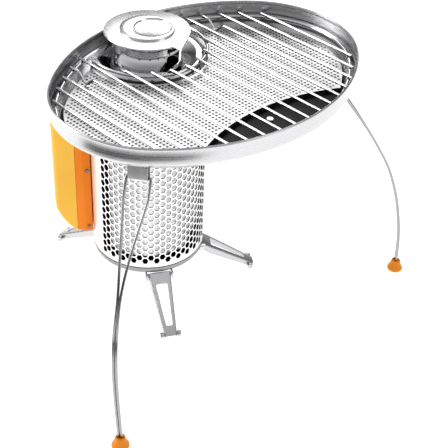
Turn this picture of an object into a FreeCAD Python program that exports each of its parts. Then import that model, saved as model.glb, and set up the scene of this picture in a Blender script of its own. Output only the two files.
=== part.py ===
import FreeCAD, Part
import Sketcher
import math
import os
from FreeCAD import Vector

# Portable wood-burning camp stove with an oval grill standing on it.
# Millimetres, +Z up, +X towards the middle of the grill, +Y along the grill's long side.
# Pieces are drawn round the stove's axis; the last step moves the origin to the ground
# under the middle of the whole part.

document = FreeCAD.newDocument("camp_stove_grill")
sheet = document.addObject("Spreadsheet::Sheet", "Sizes")

DRIVING_SIZES = {
    # stove body
    "body_radius": 58.0, "sheet_metal": 0.8, "cup_bottom": 40.5, "cup_top": 49.0,
    "shield_top": 243.0, "jacket_radius": 52.0, "chamber_radius": 45.0,
    "tab_top": 259.0,
    # folding stove legs
    "leg_pivot_radius": 56.5, "leg_pivot_height": 36.4, "leg_tip_radius": 111.6,
    "leg_tip_height": 3.2, "leg_root_width": 24.0, "leg_tip_width": 12.6, "leg_pin": 4.0,
    # power module
    "module_azimuth": 209.0, "module_bottom": 60.5, "module_top": 208.0,
    "module_seam": 66.5, "module_depth": 102.0, "module_half_width": 33.0,
    "module_wall": 2.0, "fan_height": 112.0, "probe_height": 176.0, "fan_radius": 15.0,
    # oval tray
    "tray_offset": 83.5, "tray_half_length": 157.4, "tray_half_width": 119.0,
    "tray_end_radius": 94.0, "tray_floor": 260.2, "tray_wall_foot": 270.5,
    "rim_top": 286.8, "rim_hem": 1.6, "skirt_run": 14.0,
    "plate_bottom": 264.0, "plate_sheet": 0.6, "plate_gap": 13.5, "plate_arc_radius": 190.0,
    "plate_edge": 139.5,
    # grate
    "wire": 2.6, "frame_wire": 3.0, "rod_pitch": 16.3, "rod_height": 275.4,
    "grate_gap": 7.2, "bow_radius": 57.0,
    # chimney and lid
    "neck_radius": 32.2, "skirt_radius": 33.5, "lid_radius": 41.2, "lid_top": 291.0,
    "tongue_radius": 51.0, "skirt_bottom": 275.5, "grip_radius": 26.0, "grip_height": 2.4,
    # folding wire legs
    "bracket_x": 130.0, "bracket_y": 124.5, "bracket_height": 248.0, "wire_leg_azimuth": 55.8,
    "near_leg_reach": 76.0, "far_leg_reach": 95.0, "wire_leg_spread": 10.5,
    "rubber_radius": 8.3,
}


class Size:
    """A length that carries its value and the sheet expression that gives it."""

    def __init__(self, value, text):
        self.value = float(value)
        self.text = text

    def join(self, other, sign, value, swap=False):
        text = other.text if isinstance(other, Size) else repr(float(other))
        pair = (text, self.text) if swap else (self.text, text)
        return Size(value, "(%s %s %s)" % (pair[0], sign, pair[1]))

    def __float__(self):
        return self.value

    def __add__(self, other):
        return self.join(other, "+", self.value + float(other))

    def __radd__(self, other):
        return self.join(other, "+", self.value + float(other), True)

    def __sub__(self, other):
        return self.join(other, "-", self.value - float(other))

    def __rsub__(self, other):
        return self.join(other, "-", float(other) - self.value, True)

    def __mul__(self, other):
        return self.join(other, "*", self.value * float(other))

    def __rmul__(self, other):
        return self.join(other, "*", self.value * float(other), True)

    def __truediv__(self, other):
        return self.join(other, "/", self.value / float(other))


sizes = {}
for row, (name, number) in enumerate(DRIVING_SIZES.items(), 1):
    sheet.set("A%d" % row, name)
    sheet.set("B%d" % row, str(number))
    sheet.setAlias("B%d" % row, name)
    sizes[name] = Size(number, "Sizes." + name)
document.recompute()

nodes = []


def size(name):
    return sizes[name]


def number(name):
    return float(sizes[name])


def bind(thing, prop, length):
    """Bind a property to the sheet, or set it when it is a plain number."""
    if isinstance(length, Size):
        thing.setExpression(prop, length.text)
    setattr(thing, prop, float(length))


def node(thing, label):
    thing.Label = label
    nodes.append(thing)
    return thing


def feature(label, shape, placement=None):
    """A sub-part whose shape comes from Part's own functions."""
    thing = document.addObject("Part::Feature", label)
    thing.Shape = shape
    if placement is not None:
        thing.Placement = placement
    return node(thing, label)


# ---------------------------------------------------------------- parametric helpers
def origin_plane(body, role):
    return [item for item in body.Origin.OriginFeatures if item.Role == role][0]


def corner_sketch(body, name, role, corners):
    """A closed outline whose every corner is tied to the sheet by two distances."""
    sketch = body.newObject("Sketcher::SketchObject", name)
    sketch.AttachmentSupport = [(origin_plane(body, role), "")]
    sketch.MapMode = "FlatFace"
    flat = [(float(a), float(b)) for a, b in corners]
    for i, (a, b) in enumerate(flat):
        c, d = flat[(i + 1) % len(flat)]
        sketch.addGeometry(Part.LineSegment(Vector(a, b, 0), Vector(c, d, 0)), False)
    for i in range(len(flat)):
        sketch.addConstraint(Sketcher.Constraint("Coincident", i, 2, (i + 1) % len(flat), 1))
    for i, corner in enumerate(corners):
        for kind, length in zip(("DistanceX", "DistanceY"), corner):
            if abs(float(length)) < 1e-9:
                axis = -2 if kind == "DistanceX" else -1
                sketch.addConstraint(Sketcher.Constraint("PointOnObject", i, 1, axis))
                continue
            index = sketch.addConstraint(
                Sketcher.Constraint(kind, -1, 1, i, 1, float(length)))
            if isinstance(length, Size):
                sketch.setExpression("Constraints[%d]" % index, length.text)
    return sketch


def turned_blank(label, corners):
    """An outline of (radius, height) corners revolved about Z."""
    body = document.addObject("PartDesign::Body", label)
    sketch = corner_sketch(body, label + "_profile", "XZ_Plane", corners)
    document.recompute()
    turn = body.newObject("PartDesign::Revolution", label + "_turn")
    turn.Profile = sketch
    turn.ReferenceAxis = (sketch, ["V_Axis"])
    turn.Angle = 360.0
    document.recompute()
    return body


def turned_body(label, corners):
    return node(turned_blank(label, corners), label)


def cylinder(name, radius, height, placement):
    thing = document.addObject("Part::Cylinder", name)
    bind(thing, "Radius", radius)
    bind(thing, "Height", height)
    thing.Placement = placement
    return thing


def tube(label, outer, wall, bottom, height):
    """A sheet-metal tube about Z."""
    cut = document.addObject("Part::Cut", label)
    cut.Base = cylinder(label + "_outside", outer, height, at(0, 0, float(bottom)))
    cut.Tool = cylinder(label + "_inside", outer - wall, height, at(0, 0, float(bottom)))
    document.recompute()
    return cut


# ---------------------------------------------------------------- plain shape helpers
def at(x, y, z, axis=Vector(0, 0, 1), angle=0.0):
    return FreeCAD.Placement(Vector(x, y, z), FreeCAD.Rotation(axis, angle))


def block(x0, x1, y0, y1, z0, z1):
    return Part.makeBox(x1 - x0, y1 - y0, z1 - z0, Vector(x0, y0, z0))


def rod(start, end, radius):
    way = end - start
    return Part.makeCylinder(radius, way.Length, start, way)


def prism(corners, bottom, top):
    ring = [Vector(a, b, bottom) for a, b in corners]
    face = Part.Face(Part.makePolygon(ring + ring[:1]))
    return face.extrude(Vector(0, 0, top - bottom))


def joined(shapes):
    return shapes[0].fuse(shapes[1:]).removeSplitter()


def group(shapes):
    return Part.makeCompound(shapes)


def placed(shape, placement):
    copy = shape.copy()
    copy.Placement = placement.multiply(copy.Placement)
    return copy


def turned(shape, azimuth):
    return placed(shape, at(0, 0, 0, Vector(0, 0, 1), azimuth))


def polar(radius, azimuth, height=0.0):
    angle = math.radians(azimuth)
    return Vector(radius * math.cos(angle), radius * math.sin(angle), height)


def wire_along(points, bend, radius):
    """Round wire along straight runs joined by tangent arcs. A bend of None is as wide as
    its two runs allow, which turns a row of short runs into one smooth bow."""
    edges = []
    start = points[0]
    bends = bend if isinstance(bend, list) else [bend] * (len(points) - 2)
    for i in range(1, len(points) - 1):
        before = points[i - 1] - points[i]
        after = points[i + 1] - points[i]
        shortest = min(before.Length, after.Length)
        before.normalize()
        after.normalize()
        half = math.acos(max(-1.0, min(1.0, before.dot(after)))) / 2
        bend = bends[i - 1] or 0.49 * shortest * math.tan(half)
        reach = bend / math.tan(half)
        enter = points[i] + before * reach
        leave = points[i] + after * reach
        middle_way = (before + after).normalize()
        middle = points[i] + middle_way * (bend / math.sin(half) - bend)
        edges.append(Part.makeLine(start, enter))
        edges.append(Part.Arc(enter, middle, leave).toShape())
        start = leave
    edges.append(Part.makeLine(start, points[-1]))
    path = Part.Wire(edges)
    section = Part.Wire(Part.makeCircle(radius, points[0], points[1] - points[0]))
    return path.makePipeShell([section], True, True)


# ---------------------------------------------------------------- the oval of the tray
# Two side arcs and two end arcs, tangent to one another. Every inner outline of the
# grill is a parallel of this oval, so all of them share the same four centres.
def oval_centres():
    length, width = number("tray_half_length"), number("tray_half_width")
    end = number("tray_end_radius")
    side = (width ** 2 - end ** 2 + (length - end) ** 2) / (2 * (width - end))
    return side, side - width, length - end


def oval_wire(inset, height):
    """The oval moved in by an inset, at a height, as four arcs."""
    side, side_shift, end_shift = oval_centres()
    middle = number("tray_offset")
    meet = math.degrees(math.atan2(end_shift, side_shift))
    end = number("tray_end_radius") - inset
    side -= inset
    arcs = []
    for centre_x, centre_y, radius, first, last in (
            (middle - side_shift, 0, side, -meet, meet),
            (middle, end_shift, end, meet, 180 - meet),
            (middle + side_shift, 0, side, 180 - meet, 180 + meet),
            (middle, -end_shift, end, 180 + meet, 360 - meet)):
        arcs.append(Part.makeCircle(radius, Vector(centre_x, centre_y, height),
                                    Vector(0, 0, 1), first, last))
    return Part.Wire(arcs)


def oval_prism(inset, bottom, top):
    return Part.Face(oval_wire(inset, bottom)).extrude(Vector(0, 0, top - bottom))


def oval_skirt(bottom_inset, bottom, top_inset, top):
    return Part.makeLoft([oval_wire(bottom_inset, bottom), oval_wire(top_inset, top)],
                         True, True)


def oval_x(inset, y, far):
    """Where the side arc of a parallel oval crosses a line of constant y."""
    side, side_shift, end_shift = oval_centres()
    middle = number("tray_offset")
    meet = math.atan2(end_shift, side_shift)
    radius = side - inset
    if abs(y) <= radius * math.sin(meet):
        reach = math.sqrt(radius ** 2 - y ** 2) - side_shift
    else:
        reach = math.sqrt((number("tray_end_radius") - inset) ** 2 - (abs(y) - end_shift) ** 2)
    return middle - reach if far else middle + reach


# ---------------------------------------------------------------- stove body
R = size("body_radius")
METAL = size("sheet_metal")
CUP = size("cup_bottom")
CUP_FLOOR = CUP + 1.0
BODY_HEIGHT = size("shield_top") - size("cup_top")

turned_body("base_cup", [
    (0, CUP), (R - 3.0, CUP), (R, CUP + 2.6), (R, size("cup_top")),
    (R - 1.2, size("cup_top")), (R - 1.2, CUP + 3.2), (R - 3.6, CUP_FLOOR), (0, CUP_FLOOR)])


def module_port(depth):
    """The fan duct and the probe slot, cut through the walls behind the power module."""
    duct = Part.makeCylinder(number("fan_radius") + 1.0, depth,
                             Vector(60 - depth, 0, number("fan_height")), Vector(1, 0, 0))
    slot = block(60 - depth, 62, -11.0, 11.0, number("probe_height") - 4.6,
                 number("probe_height") + 4.6)
    return turned(duct.fuse(slot), number("module_azimuth"))


shield = tube("shield_sheet", R, METAL, size("cup_top"), BODY_HEIGHT)
# The shield's honeycomb of small holes belongs to the finish: the sheet is kept whole here.
feature("heat_shield", shield.Shape.cut(module_port(8)))

jacket = tube("jacket_sheet", size("jacket_radius"), METAL, CUP_FLOOR,
              size("shield_top") - CUP_FLOOR)
feature("air_jacket", jacket.Shape.cut(module_port(16)))

chamber = tube("chamber_sheet", size("chamber_radius"), METAL, CUP_FLOOR,
               size("shield_top") - CUP_FLOOR)
JET_ROWS = ((24, 2.0, 228.0), (12, 1.6, 78.0))
jets = []
for count, jet_radius, jet_height in JET_ROWS:
    for k in range(count):
        away = polar(1, 360.0 / count * (k + 0.5))
        start = away * (number("chamber_radius") - 3)
        jets.append(Part.makeCylinder(jet_radius, 6, start + Vector(0, 0, jet_height), away))
probe_slot = turned(block(36, 50, -11.0, 11.0, number("probe_height") - 4.6,
                          number("probe_height") + 4.6), number("module_azimuth"))
feature("burn_chamber", chamber.Shape.cut(group(jets)).cut(probe_slot))

ASH_TOP = CUP + 18.0
ash_cup = turned_blank("ash_cup_blank", [
    (0, ASH_TOP - 1.0), (size("chamber_radius") - 3.0, ASH_TOP - 1.0),
    (size("chamber_radius") - 3.0, CUP_FLOOR), (size("chamber_radius") - 2.0, CUP_FLOOR),
    (size("chamber_radius") - 2.0, ASH_TOP), (0, ASH_TOP)])
ash_holes = [Part.makeCylinder(2.5, 6, polar(ring_radius, 360.0 / count * k,
                                             float(ASH_TOP) - 3))
             for ring_radius, count in ((0, 1), (12, 6), (24, 12), (35, 18))
             for k in range(count)]
feature("fire_grate", ash_cup.Shape.cut(group(ash_holes)))


def top_ring():
    """The ring that closes the walls, with four tabs that carry a pot or the grill."""
    base = number("shield_top")
    outer, inner = number("body_radius"), number("chamber_radius") - number("sheet_metal")
    ring = Part.makeCylinder(outer, 1.0, Vector(0, 0, base)).cut(
        Part.makeCylinder(inner, 1.0, Vector(0, 0, base)))
    tab = block(48.0, 49.6, -9.0, 9.0, base + 1.0, number("tab_top")).fuse(
        block(48.0, 55.0, -9.0, 9.0, number("tab_top") - 1.4, number("tab_top")))
    return joined([ring] + [turned(tab, 45 + 90 * k) for k in range(4)])


feature("top_ring", top_ring())


def hook_lugs():
    """Two hooked lugs on the shield, one each side of the module's upper end."""
    base = number("module_top") - 12.0
    lug = block(44.0, 61.4, 33.0, 36.6, base, base + 8.0)
    lug = lug.fuse(block(60.0, 61.4, 33.0, 36.6, base - 4.0, base + 8.0))
    lug = lug.fuse(lug.mirror(Vector(0, 0, 0), Vector(0, 1, 0)))
    return turned(lug.cut(Part.makeCylinder(number("body_radius"), 400)),
                  number("module_azimuth"))


feature("module_hooks", hook_lugs())


# ---------------------------------------------------------------- folding stove legs
STOVE_LEGS = (("front", -30.0), ("right", 53.0), ("left", 197.0))
PIN = number("leg_pin") / 2
PIVOT_R = number("leg_pivot_radius")
PIVOT_Z = number("leg_pivot_height")
LEG_RUN = number("leg_tip_radius") - PIVOT_R
LEG_DROP = PIVOT_Z - number("leg_tip_height")
LEG_LENGTH = math.hypot(LEG_RUN, LEG_DROP)
LEG_SLOPE = math.degrees(math.atan2(LEG_DROP, LEG_RUN))
EAR = 1.5


def leg_placement(azimuth):
    """From the leg's own frame, X along the leg from its pin, to the stove's frame."""
    spot = polar(PIVOT_R, azimuth, PIVOT_Z)
    spin = FreeCAD.Rotation(Vector(0, 0, 1), azimuth)
    slope = FreeCAD.Rotation(Vector(0, 1, 0), LEG_SLOPE)
    return FreeCAD.Placement(spot, spin.multiply(slope))


def leg_channel():
    """A stamped channel: tapering plate, turned-down flanges and a long window."""
    root, tip = number("leg_root_width") / 2, number("leg_tip_width") / 2
    metal, back, nose = 1.2, -2.6, LEG_LENGTH + 2.6
    outside = [(back, -root), (nose, -tip), (nose, tip), (back, root)]
    inside = [(back - 1, -root + metal), (nose + 1, -tip + metal),
              (nose + 1, tip - metal), (back - 1, root - metal)]
    window = [(10, -root + 5.2), (LEG_LENGTH - 9, -tip + 3.2),
              (LEG_LENGTH - 9, tip - 3.2), (10, root - 5.2)]
    shape = prism(outside, -4.2, 3.4).cut(prism(inside, -5.0, 2.2)).cut(prism(window, 0, 5))
    edge = [Vector(-9, -40, -2.6), Vector(12, -40, -5.0), Vector(LEG_LENGTH, -40, -2.2),
            Vector(LEG_LENGTH + 9, -40, 1.4), Vector(LEG_LENGTH + 9, -40, -12),
            Vector(-9, -40, -12)]
    under = Part.Face(Part.makePolygon(edge + edge[:1])).extrude(Vector(0, 80, 0))
    shape = shape.cut(under)
    for x, bore in ((0.0, PIN + 0.05), (LEG_LENGTH, 1.55)):
        shape = shape.cut(Part.makeCylinder(bore, 40, Vector(x, -20, 0), Vector(0, 1, 0)))
    return shape


def foot_axle():
    """The axle through a leg's tip, with a round knob on each end."""
    inner, outer = number("leg_tip_width") / 2 + 0.8, number("leg_tip_width") / 2 + 4.6
    along = Vector(0, 1, 0)
    pieces = [Part.makeCylinder(1.5, 2 * outer, Vector(LEG_LENGTH, -outer, 0), along)]
    for side in (-outer, inner):
        pieces.append(Part.makeCylinder(3.2, outer - inner, Vector(LEG_LENGTH, side, 0), along))
    return joined(pieces)


ears = []
for name, azimuth in STOVE_LEGS:
    half = number("leg_root_width") / 2 + 0.7
    for side in (-half - EAR, half):
        ear = block(-6.0, 3.4, side, side + EAR, -3.2, number("cup_bottom") - PIVOT_Z)
        ear = ear.cut(Part.makeCylinder(PIN, 40, Vector(0, -20, 0), Vector(0, 1, 0)))
        ears.append(placed(turned(ear, azimuth), at(*polar(PIVOT_R, azimuth, PIVOT_Z))))
feature("leg_hinge_ears", group(ears))

pins = []
for name, azimuth in STOVE_LEGS:
    half = number("leg_root_width") / 2 + 0.7 + EAR + 0.5
    pin = Part.makeCylinder(PIN, 2 * half, Vector(0, -half, 0), Vector(0, 1, 0))
    pins.append(placed(turned(pin, azimuth), at(*polar(PIVOT_R, azimuth, PIVOT_Z))))
feature("leg_hinge_pins", group(pins))

for name, azimuth in STOVE_LEGS:
    feature("stove_leg_" + name, leg_channel(), leg_placement(azimuth))
    feature("foot_axle_" + name, foot_axle(), leg_placement(azimuth))

# ---------------------------------------------------------------- power module
MODULE = at(0, 0, 0, Vector(0, 0, 1), number("module_azimuth"))
LOW, HIGH = number("module_bottom"), number("module_top")
SEAM, DEEP = number("module_seam"), number("module_depth")
HALF, WALL = number("module_half_width"), number("module_wall")
FAN_Z, PROBE_Z = number("fan_height"), number("probe_height")


def shell_outline(inset):
    """Plan of the outer shell: two short sides and a bulging face, round corners."""
    half, deep = HALF - inset, DEEP - inset
    shoulder = DEEP - 9.0
    corner = 6.0
    side_end = Vector(shoulder - corner, half, 0)
    face_start = Vector(shoulder, half - corner, 0)
    knee = Vector(shoulder - corner * 0.29, half - corner * 0.29, 0)
    right = [Part.makeLine(Vector(SEAM, half, 0), side_end),
             Part.Arc(side_end, knee, face_start).toShape()]
    left = [Part.Arc(Vector(face_start.x, -face_start.y, 0), Vector(knee.x, -knee.y, 0),
                     Vector(side_end.x, -side_end.y, 0)).toShape(),
            Part.makeLine(Vector(side_end.x, -side_end.y, 0), Vector(SEAM, -half, 0))]
    face = Part.Arc(face_start, Vector(deep, 0, 0), Vector(face_start.x, -face_start.y, 0))
    close = Part.makeLine(Vector(SEAM, -half, 0), Vector(SEAM, half, 0))
    return Part.Wire(right + [face.toShape()] + left + [close])


def swept_under(inset):
    """Side view that the shell is trimmed to: a long curve under the outer corner."""
    low, high, deep = LOW + inset, HIGH - inset, DEEP + 5
    outer = DEEP + 1.0 - inset
    edges = [Part.makeLine(Vector(SEAM - 1, 0, high), Vector(outer - 6, 0, high)),
             Part.Arc(Vector(outer - 6, 0, high), Vector(outer - 1.7, 0, high - 1.7),
                      Vector(outer, 0, high - 6)).toShape(),
             Part.makeLine(Vector(outer, 0, high - 6), Vector(outer, 0, low + 24)),
             Part.Arc(Vector(outer, 0, low + 24), Vector(outer - 10, 0, low + 7.5),
                      Vector(SEAM + 5, 0, low)).toShape(),
             Part.makeLine(Vector(SEAM + 5, 0, low), Vector(SEAM - 1, 0, low)),
             Part.makeLine(Vector(SEAM - 1, 0, low), Vector(SEAM - 1, 0, high))]
    face = Part.Face(Part.Wire(edges))
    return placed(face.extrude(Vector(0, 100, 0)), at(0, -50, 0))


def shell_solid(inset):
    body = Part.Face(shell_outline(inset)).extrude(Vector(0, 0, HIGH - LOW))
    return placed(body, at(0, 0, LOW)).common(swept_under(inset))


BUTTON_Z, FLAP_Z, LENS_Z = 128.0, 91.0, 146.0
FACE_CUT = DEEP - 6.0


def outer_shell():
    hollow = placed(shell_solid(WALL), at(-0.01, 0, 0))
    shell = shell_solid(0).cut(hollow).cut(block(SEAM - 2, SEAM, -50, 50, LOW, HIGH))
    shell = shell.cut(Part.makeCylinder(6.2, 30, Vector(FACE_CUT, 0, BUTTON_Z), Vector(1, 0, 0)))
    shell = shell.cut(block(FACE_CUT, DEEP + 9, -8.2, 8.2, FLAP_Z - 4.4, FLAP_Z + 4.4))
    shell = shell.cut(Part.makeCylinder(2.0, 30, Vector(FACE_CUT, 0, LENS_Z), Vector(1, 0, 0)))
    return shell


feature("module_outer_shell", outer_shell(), MODULE)

SCREW_SPOTS = [(side, height) for side in (-1, 1) for height in (LOW + 6, LOW + 76.5)]
BAND_X, BAND_HALF = 58.0, 32.0
INNER_X, INNER_HALF = 52.0, 28.0


def back_shell():
    """The half that faces the stove: a straight band at the seam, then drawn in."""
    half_plan = [(SEAM, HALF), (BAND_X, BAND_HALF), (INNER_X, INNER_HALF)]
    plan = half_plan + [(x, -y) for x, y in reversed(half_plan)]
    shell = prism(plan, LOW, HIGH)
    shell = shell.cut(Part.makeCylinder(number("body_radius") + 2.0, 200, Vector(0, 0, LOW - 9)))
    shell = shell.cut(block(63.0, SEAM, -29.5, 29.5, LOW + 3, HIGH - 3))
    shell = shell.cut(Part.makeCylinder(number("fan_radius") + 1.0, 30,
                                        Vector(50, 0, FAN_Z), Vector(1, 0, 0)))
    return shell.cut(block(50, 70, -10.6, 10.6, PROBE_Z - 4.2, PROBE_Z + 4.2))


feature("module_back_shell", back_shell(), MODULE)

screws = []
for side, height in SCREW_SPOTS:
    outward = Vector(INNER_HALF - BAND_HALF, side * (BAND_X - INNER_X), 0)
    middle = Vector((BAND_X + INNER_X) / 2, side * (BAND_HALF + INNER_HALF) / 2, height)
    screws.append(Part.makeCylinder(1.9, 1.2, middle, outward))
feature("module_screws", group(screws), MODULE)

feature("heat_probe", joined([
    block(34.0, 72.0, -9.6, 9.6, PROBE_Z - 3.2, PROBE_Z + 3.2),
    block(70.0, 72.0, -16.0, 16.0, PROBE_Z - 17.0, PROBE_Z + 17.0)]), MODULE)
feature("thermoelectric_plate",
        block(72.0, 75.5, -15.0, 15.0, PROBE_Z - 15.0, PROBE_Z + 15.0), MODULE)
sink = [block(75.5, 78.0, -16.0, 16.0, PROBE_Z - 17.0, PROBE_Z + 17.0)]
sink += [block(78.0, 86.0, 4.4 * k - 15.9, 4.4 * k - 14.9, PROBE_Z - 17.0, PROBE_Z + 17.0)
         for k in range(8)]
feature("heat_sink", joined(sink), MODULE)

OUTWARD = Vector(1, 0, 0)
feature("fan_motor", joined([
    Part.makeCylinder(8.0, 5.5, Vector(80.5, 0, FAN_Z), OUTWARD),
    Part.makeCylinder(1.0, 13.0, Vector(67.5, 0, FAN_Z), OUTWARD)]), MODULE)


def fan_rotor():
    """Hub bored for the motor shaft, with seven twisted blades."""
    hub = Part.makeCylinder(5.0, 7.0, Vector(69.0, 0, FAN_Z), OUTWARD)
    blades = []
    for k in range(7):
        blade = block(69.6, 75.4, -0.6, 0.6, 4.0, number("fan_radius") - 0.8)
        blade = placed(blade, at(72.5, 0, 0, Vector(0, 0, 1), 35).multiply(at(-72.5, 0, 0)))
        blade = placed(blade, at(0, 0, 0, Vector(1, 0, 0), 360.0 / 7 * k))
        blades.append(placed(blade, at(0, 0, FAN_Z)))
    bore = Part.makeCylinder(1.05, 9.0, Vector(68.5, 0, FAN_Z), OUTWARD)
    return joined([hub] + blades).cut(bore)


feature("fan_rotor", fan_rotor(), MODULE)
feature("battery_cell", Part.makeCylinder(7.0, 50.0, Vector(76.0, -25.0, 84.5), Vector(0, 1, 0)),
        MODULE)
feature("circuit_board", block(87.0, 88.4, -20.0, 20.0, 86.0, 196.0), MODULE)
feature("usb_socket", block(88.4, DEEP - 2.8, -6.6, 6.6, FLAP_Z - 2.8, FLAP_Z + 2.8), MODULE)
BEAD, HINGE_X, HINGE_Z = 0.6, DEEP - 1.0, FLAP_Z - 3.5
feature("usb_flap", joined([
    block(DEEP - 2.2, DEEP - 0.4, -7.9, 7.9, HINGE_Z, FLAP_Z + 4.1),
    Part.makeCylinder(BEAD, 15.8, Vector(HINGE_X, -7.9, HINGE_Z), Vector(0, 1, 0))]), MODULE)
feature("power_button", joined([
    Part.makeCylinder(5.9, 3.8, Vector(DEEP - 3.2, 0, BUTTON_Z), OUTWARD),
    Part.makeCylinder(7.2, 0.8, Vector(DEEP - 4.0, 0, BUTTON_Z), OUTWARD)]), MODULE)
feature("status_lens", Part.makeCylinder(1.9, 4.0, Vector(DEEP - 3.6, 0, LENS_Z), OUTWARD),
        MODULE)

# ---------------------------------------------------------------- grill tray
FLOOR = number("tray_floor")
FOOT = number("tray_wall_foot")
RIM = number("rim_top")
RUN = number("skirt_run")
SHEET = number("sheet_metal")
NECK = number("neck_radius")


def tray():
    """A pressed pan: flat floor, shallow skirt, upright wall and a hemmed rim."""
    outside = oval_skirt(RUN, FLOOR, 0, FOOT).fuse(oval_prism(0, FOOT, RIM))
    inside = oval_skirt(RUN, FLOOR + SHEET, SHEET, FOOT + SHEET).fuse(
        oval_prism(SHEET, FOOT + SHEET, RIM - 3.0)).fuse(
        oval_prism(number("rim_hem"), RIM - 3.0, RIM))
    pan = outside.cut(inside)
    return pan.cut(Part.makeCylinder(NECK + 0.2, 30, Vector(0, 0, FLOOR - 5)))


feature("tray", tray())

turned_body("stove_adapter", [
    (NECK, FLOOR - 1.2), (R + 1.4, FLOOR - 1.2), (R + 1.4, FLOOR - 13.0),
    (R + 2.2, FLOOR - 13.0), (R + 2.2, FLOOR), (NECK, FLOOR)])

PLATE = number("plate_bottom")
PLATE_TOP = PLATE + number("plate_sheet")


def diffuser():
    """The thin plate over the fire side of the tray, cut back in an arc at the far end."""
    plate = oval_prism(number("plate_gap"), PLATE, PLATE_TOP)
    plate = plate.cut(Part.makeCylinder(number("bow_radius") + 0.6, 9, Vector(0, 0, PLATE - 4)))
    arc = number("plate_arc_radius")
    return plate.cut(Part.makeCylinder(arc, 9, Vector(number("plate_edge") + arc, 0, PLATE - 4)))


feature("diffuser_plate", diffuser())

posts = []
for x, y in ((60, 95), (60, -95), (105, 60), (105, -60), (75, 0)):
    posts.append(Part.makeCylinder(2.6, PLATE - FLOOR - SHEET, Vector(x, y, FLOOR + SHEET)))
feature("plate_spacers", group(posts))
feature("tray_stud", Part.makeCylinder(3.0, 1.6, Vector(155.0, 6.0, FLOOR + SHEET)))

CAP = 1.4
WINDOW_EDGES = (-8.0, 27.0)
MOUTH_EDGES = (-12.0, 48.0)


def window_sector(edges, bottom, top):
    first, last = edges
    spread = [polar(60, first + (last - first) * k / 4.0) for k in range(5)]
    return prism([(0, 0)] + [(v.x, v.y) for v in spread], bottom, top)


def chimney_neck():
    """The lid stands on this tube, which is open towards the mouth of the lid."""
    height = number("lid_top") - CAP - FLOOR
    neck = Part.makeCylinder(NECK, height, Vector(0, 0, FLOOR)).cut(
        Part.makeCylinder(NECK - SHEET, height, Vector(0, 0, FLOOR)))
    return neck.cut(window_sector(WINDOW_EDGES, FLOOR + 3.5, FLOOR + 16.0)).cut(
        window_sector(MOUTH_EDGES, FLOOR + 19.0, RIM + 9))


feature("chimney_neck", chimney_neck())


def chimney_collar():
    """The polished cone round the chimney, trimmed where it meets the tray's skirt."""
    inner, middle, outer = NECK + 0.05, 52.0, number("bow_radius") + 0.2
    low, high = FLOOR + SHEET + 0.2, FLOOR + 8.0
    section = [Vector(inner, 0, low + 0.8), Vector(middle, 0, high), Vector(outer, 0, PLATE + 1),
               Vector(outer - 1, 0, PLATE), Vector(middle, 0, high - 1.0),
               Vector(inner, 0, low)]
    cone = Part.Face(Part.makePolygon(section + section[:1])).revolve(
        Vector(0, 0, 0), Vector(0, 0, 1), 360)
    keep = oval_skirt(RUN + 1.0, FLOOR + SHEET + 0.05, SHEET + 1.5, FOOT + SHEET + 0.05)
    return cone.common(keep)


feature("chimney_collar", chimney_collar())

# ---------------------------------------------------------------- grate
ROD = number("wire") / 2
FRAME_WIRE = number("frame_wire") / 2
ROD_Z = number("rod_height")
FRAME_Z = ROD_Z - ROD - FRAME_WIRE
GAP = number("grate_gap")
BOW = number("bow_radius")


def bow_meets_frame():
    """Height-free point where the bow round the chimney meets the grate's outline."""
    side, side_shift, end_shift = oval_centres()
    centre, reach = number("tray_offset") + side_shift, side - GAP
    x = (BOW ** 2 + centre ** 2 - reach ** 2) / (2 * centre)
    return x, math.sqrt(BOW ** 2 - x ** 2)


def grate_outline():
    """The long way round the oval, open where the chimney stands."""
    side, side_shift, end_shift = oval_centres()
    middle = number("tray_offset")
    meet = math.degrees(math.atan2(end_shift, side_shift))
    x, y = bow_meets_frame()
    open_angle = math.degrees(math.atan2(y, middle + side_shift - x))
    up = Vector(0, 0, 1)
    arcs = []
    for centre_x, centre_y, radius, first, last in (
            (middle + side_shift, 0, side - GAP, 180 + open_angle, 180 + meet),
            (middle, -end_shift, number("tray_end_radius") - GAP, 180 + meet, 360 - meet),
            (middle - side_shift, 0, side - GAP, -meet, meet),
            (middle, end_shift, number("tray_end_radius") - GAP, meet, 180 - meet),
            (middle + side_shift, 0, side - GAP, 180 - meet, 180 - open_angle)):
        arcs.append(Part.makeCircle(radius, Vector(centre_x, centre_y, FRAME_Z), up, first, last))
    path = Part.Wire(arcs)
    start = path.Edges[0].valueAt(path.Edges[0].FirstParameter)
    heading = path.Edges[0].tangentAt(path.Edges[0].FirstParameter)
    section = Part.Wire(Part.makeCircle(FRAME_WIRE, start, heading))
    return path.makePipeShell([section], True, True)


feature("grate_outline", grate_outline())


def grate_bow():
    x, y = bow_meets_frame()
    reach = math.degrees(math.atan2(y, x)) - 3.2
    arc = Part.makeCircle(BOW, Vector(0, 0, FRAME_Z), Vector(0, 0, 1), -reach, reach)
    start = polar(BOW, -reach, FRAME_Z)
    section = Part.Wire(Part.makeCircle(FRAME_WIRE, start, polar(1, 90 - reach)))
    return Part.Wire([arc]).makePipeShell([section], True, True)


feature("grate_bow", grate_bow())

ROD_COUNT = 17
DIP_RODS = (3, 13)
DIP_X = (-1.0, 9.0, 19.0)
OVERHANG = 4.0


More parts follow.
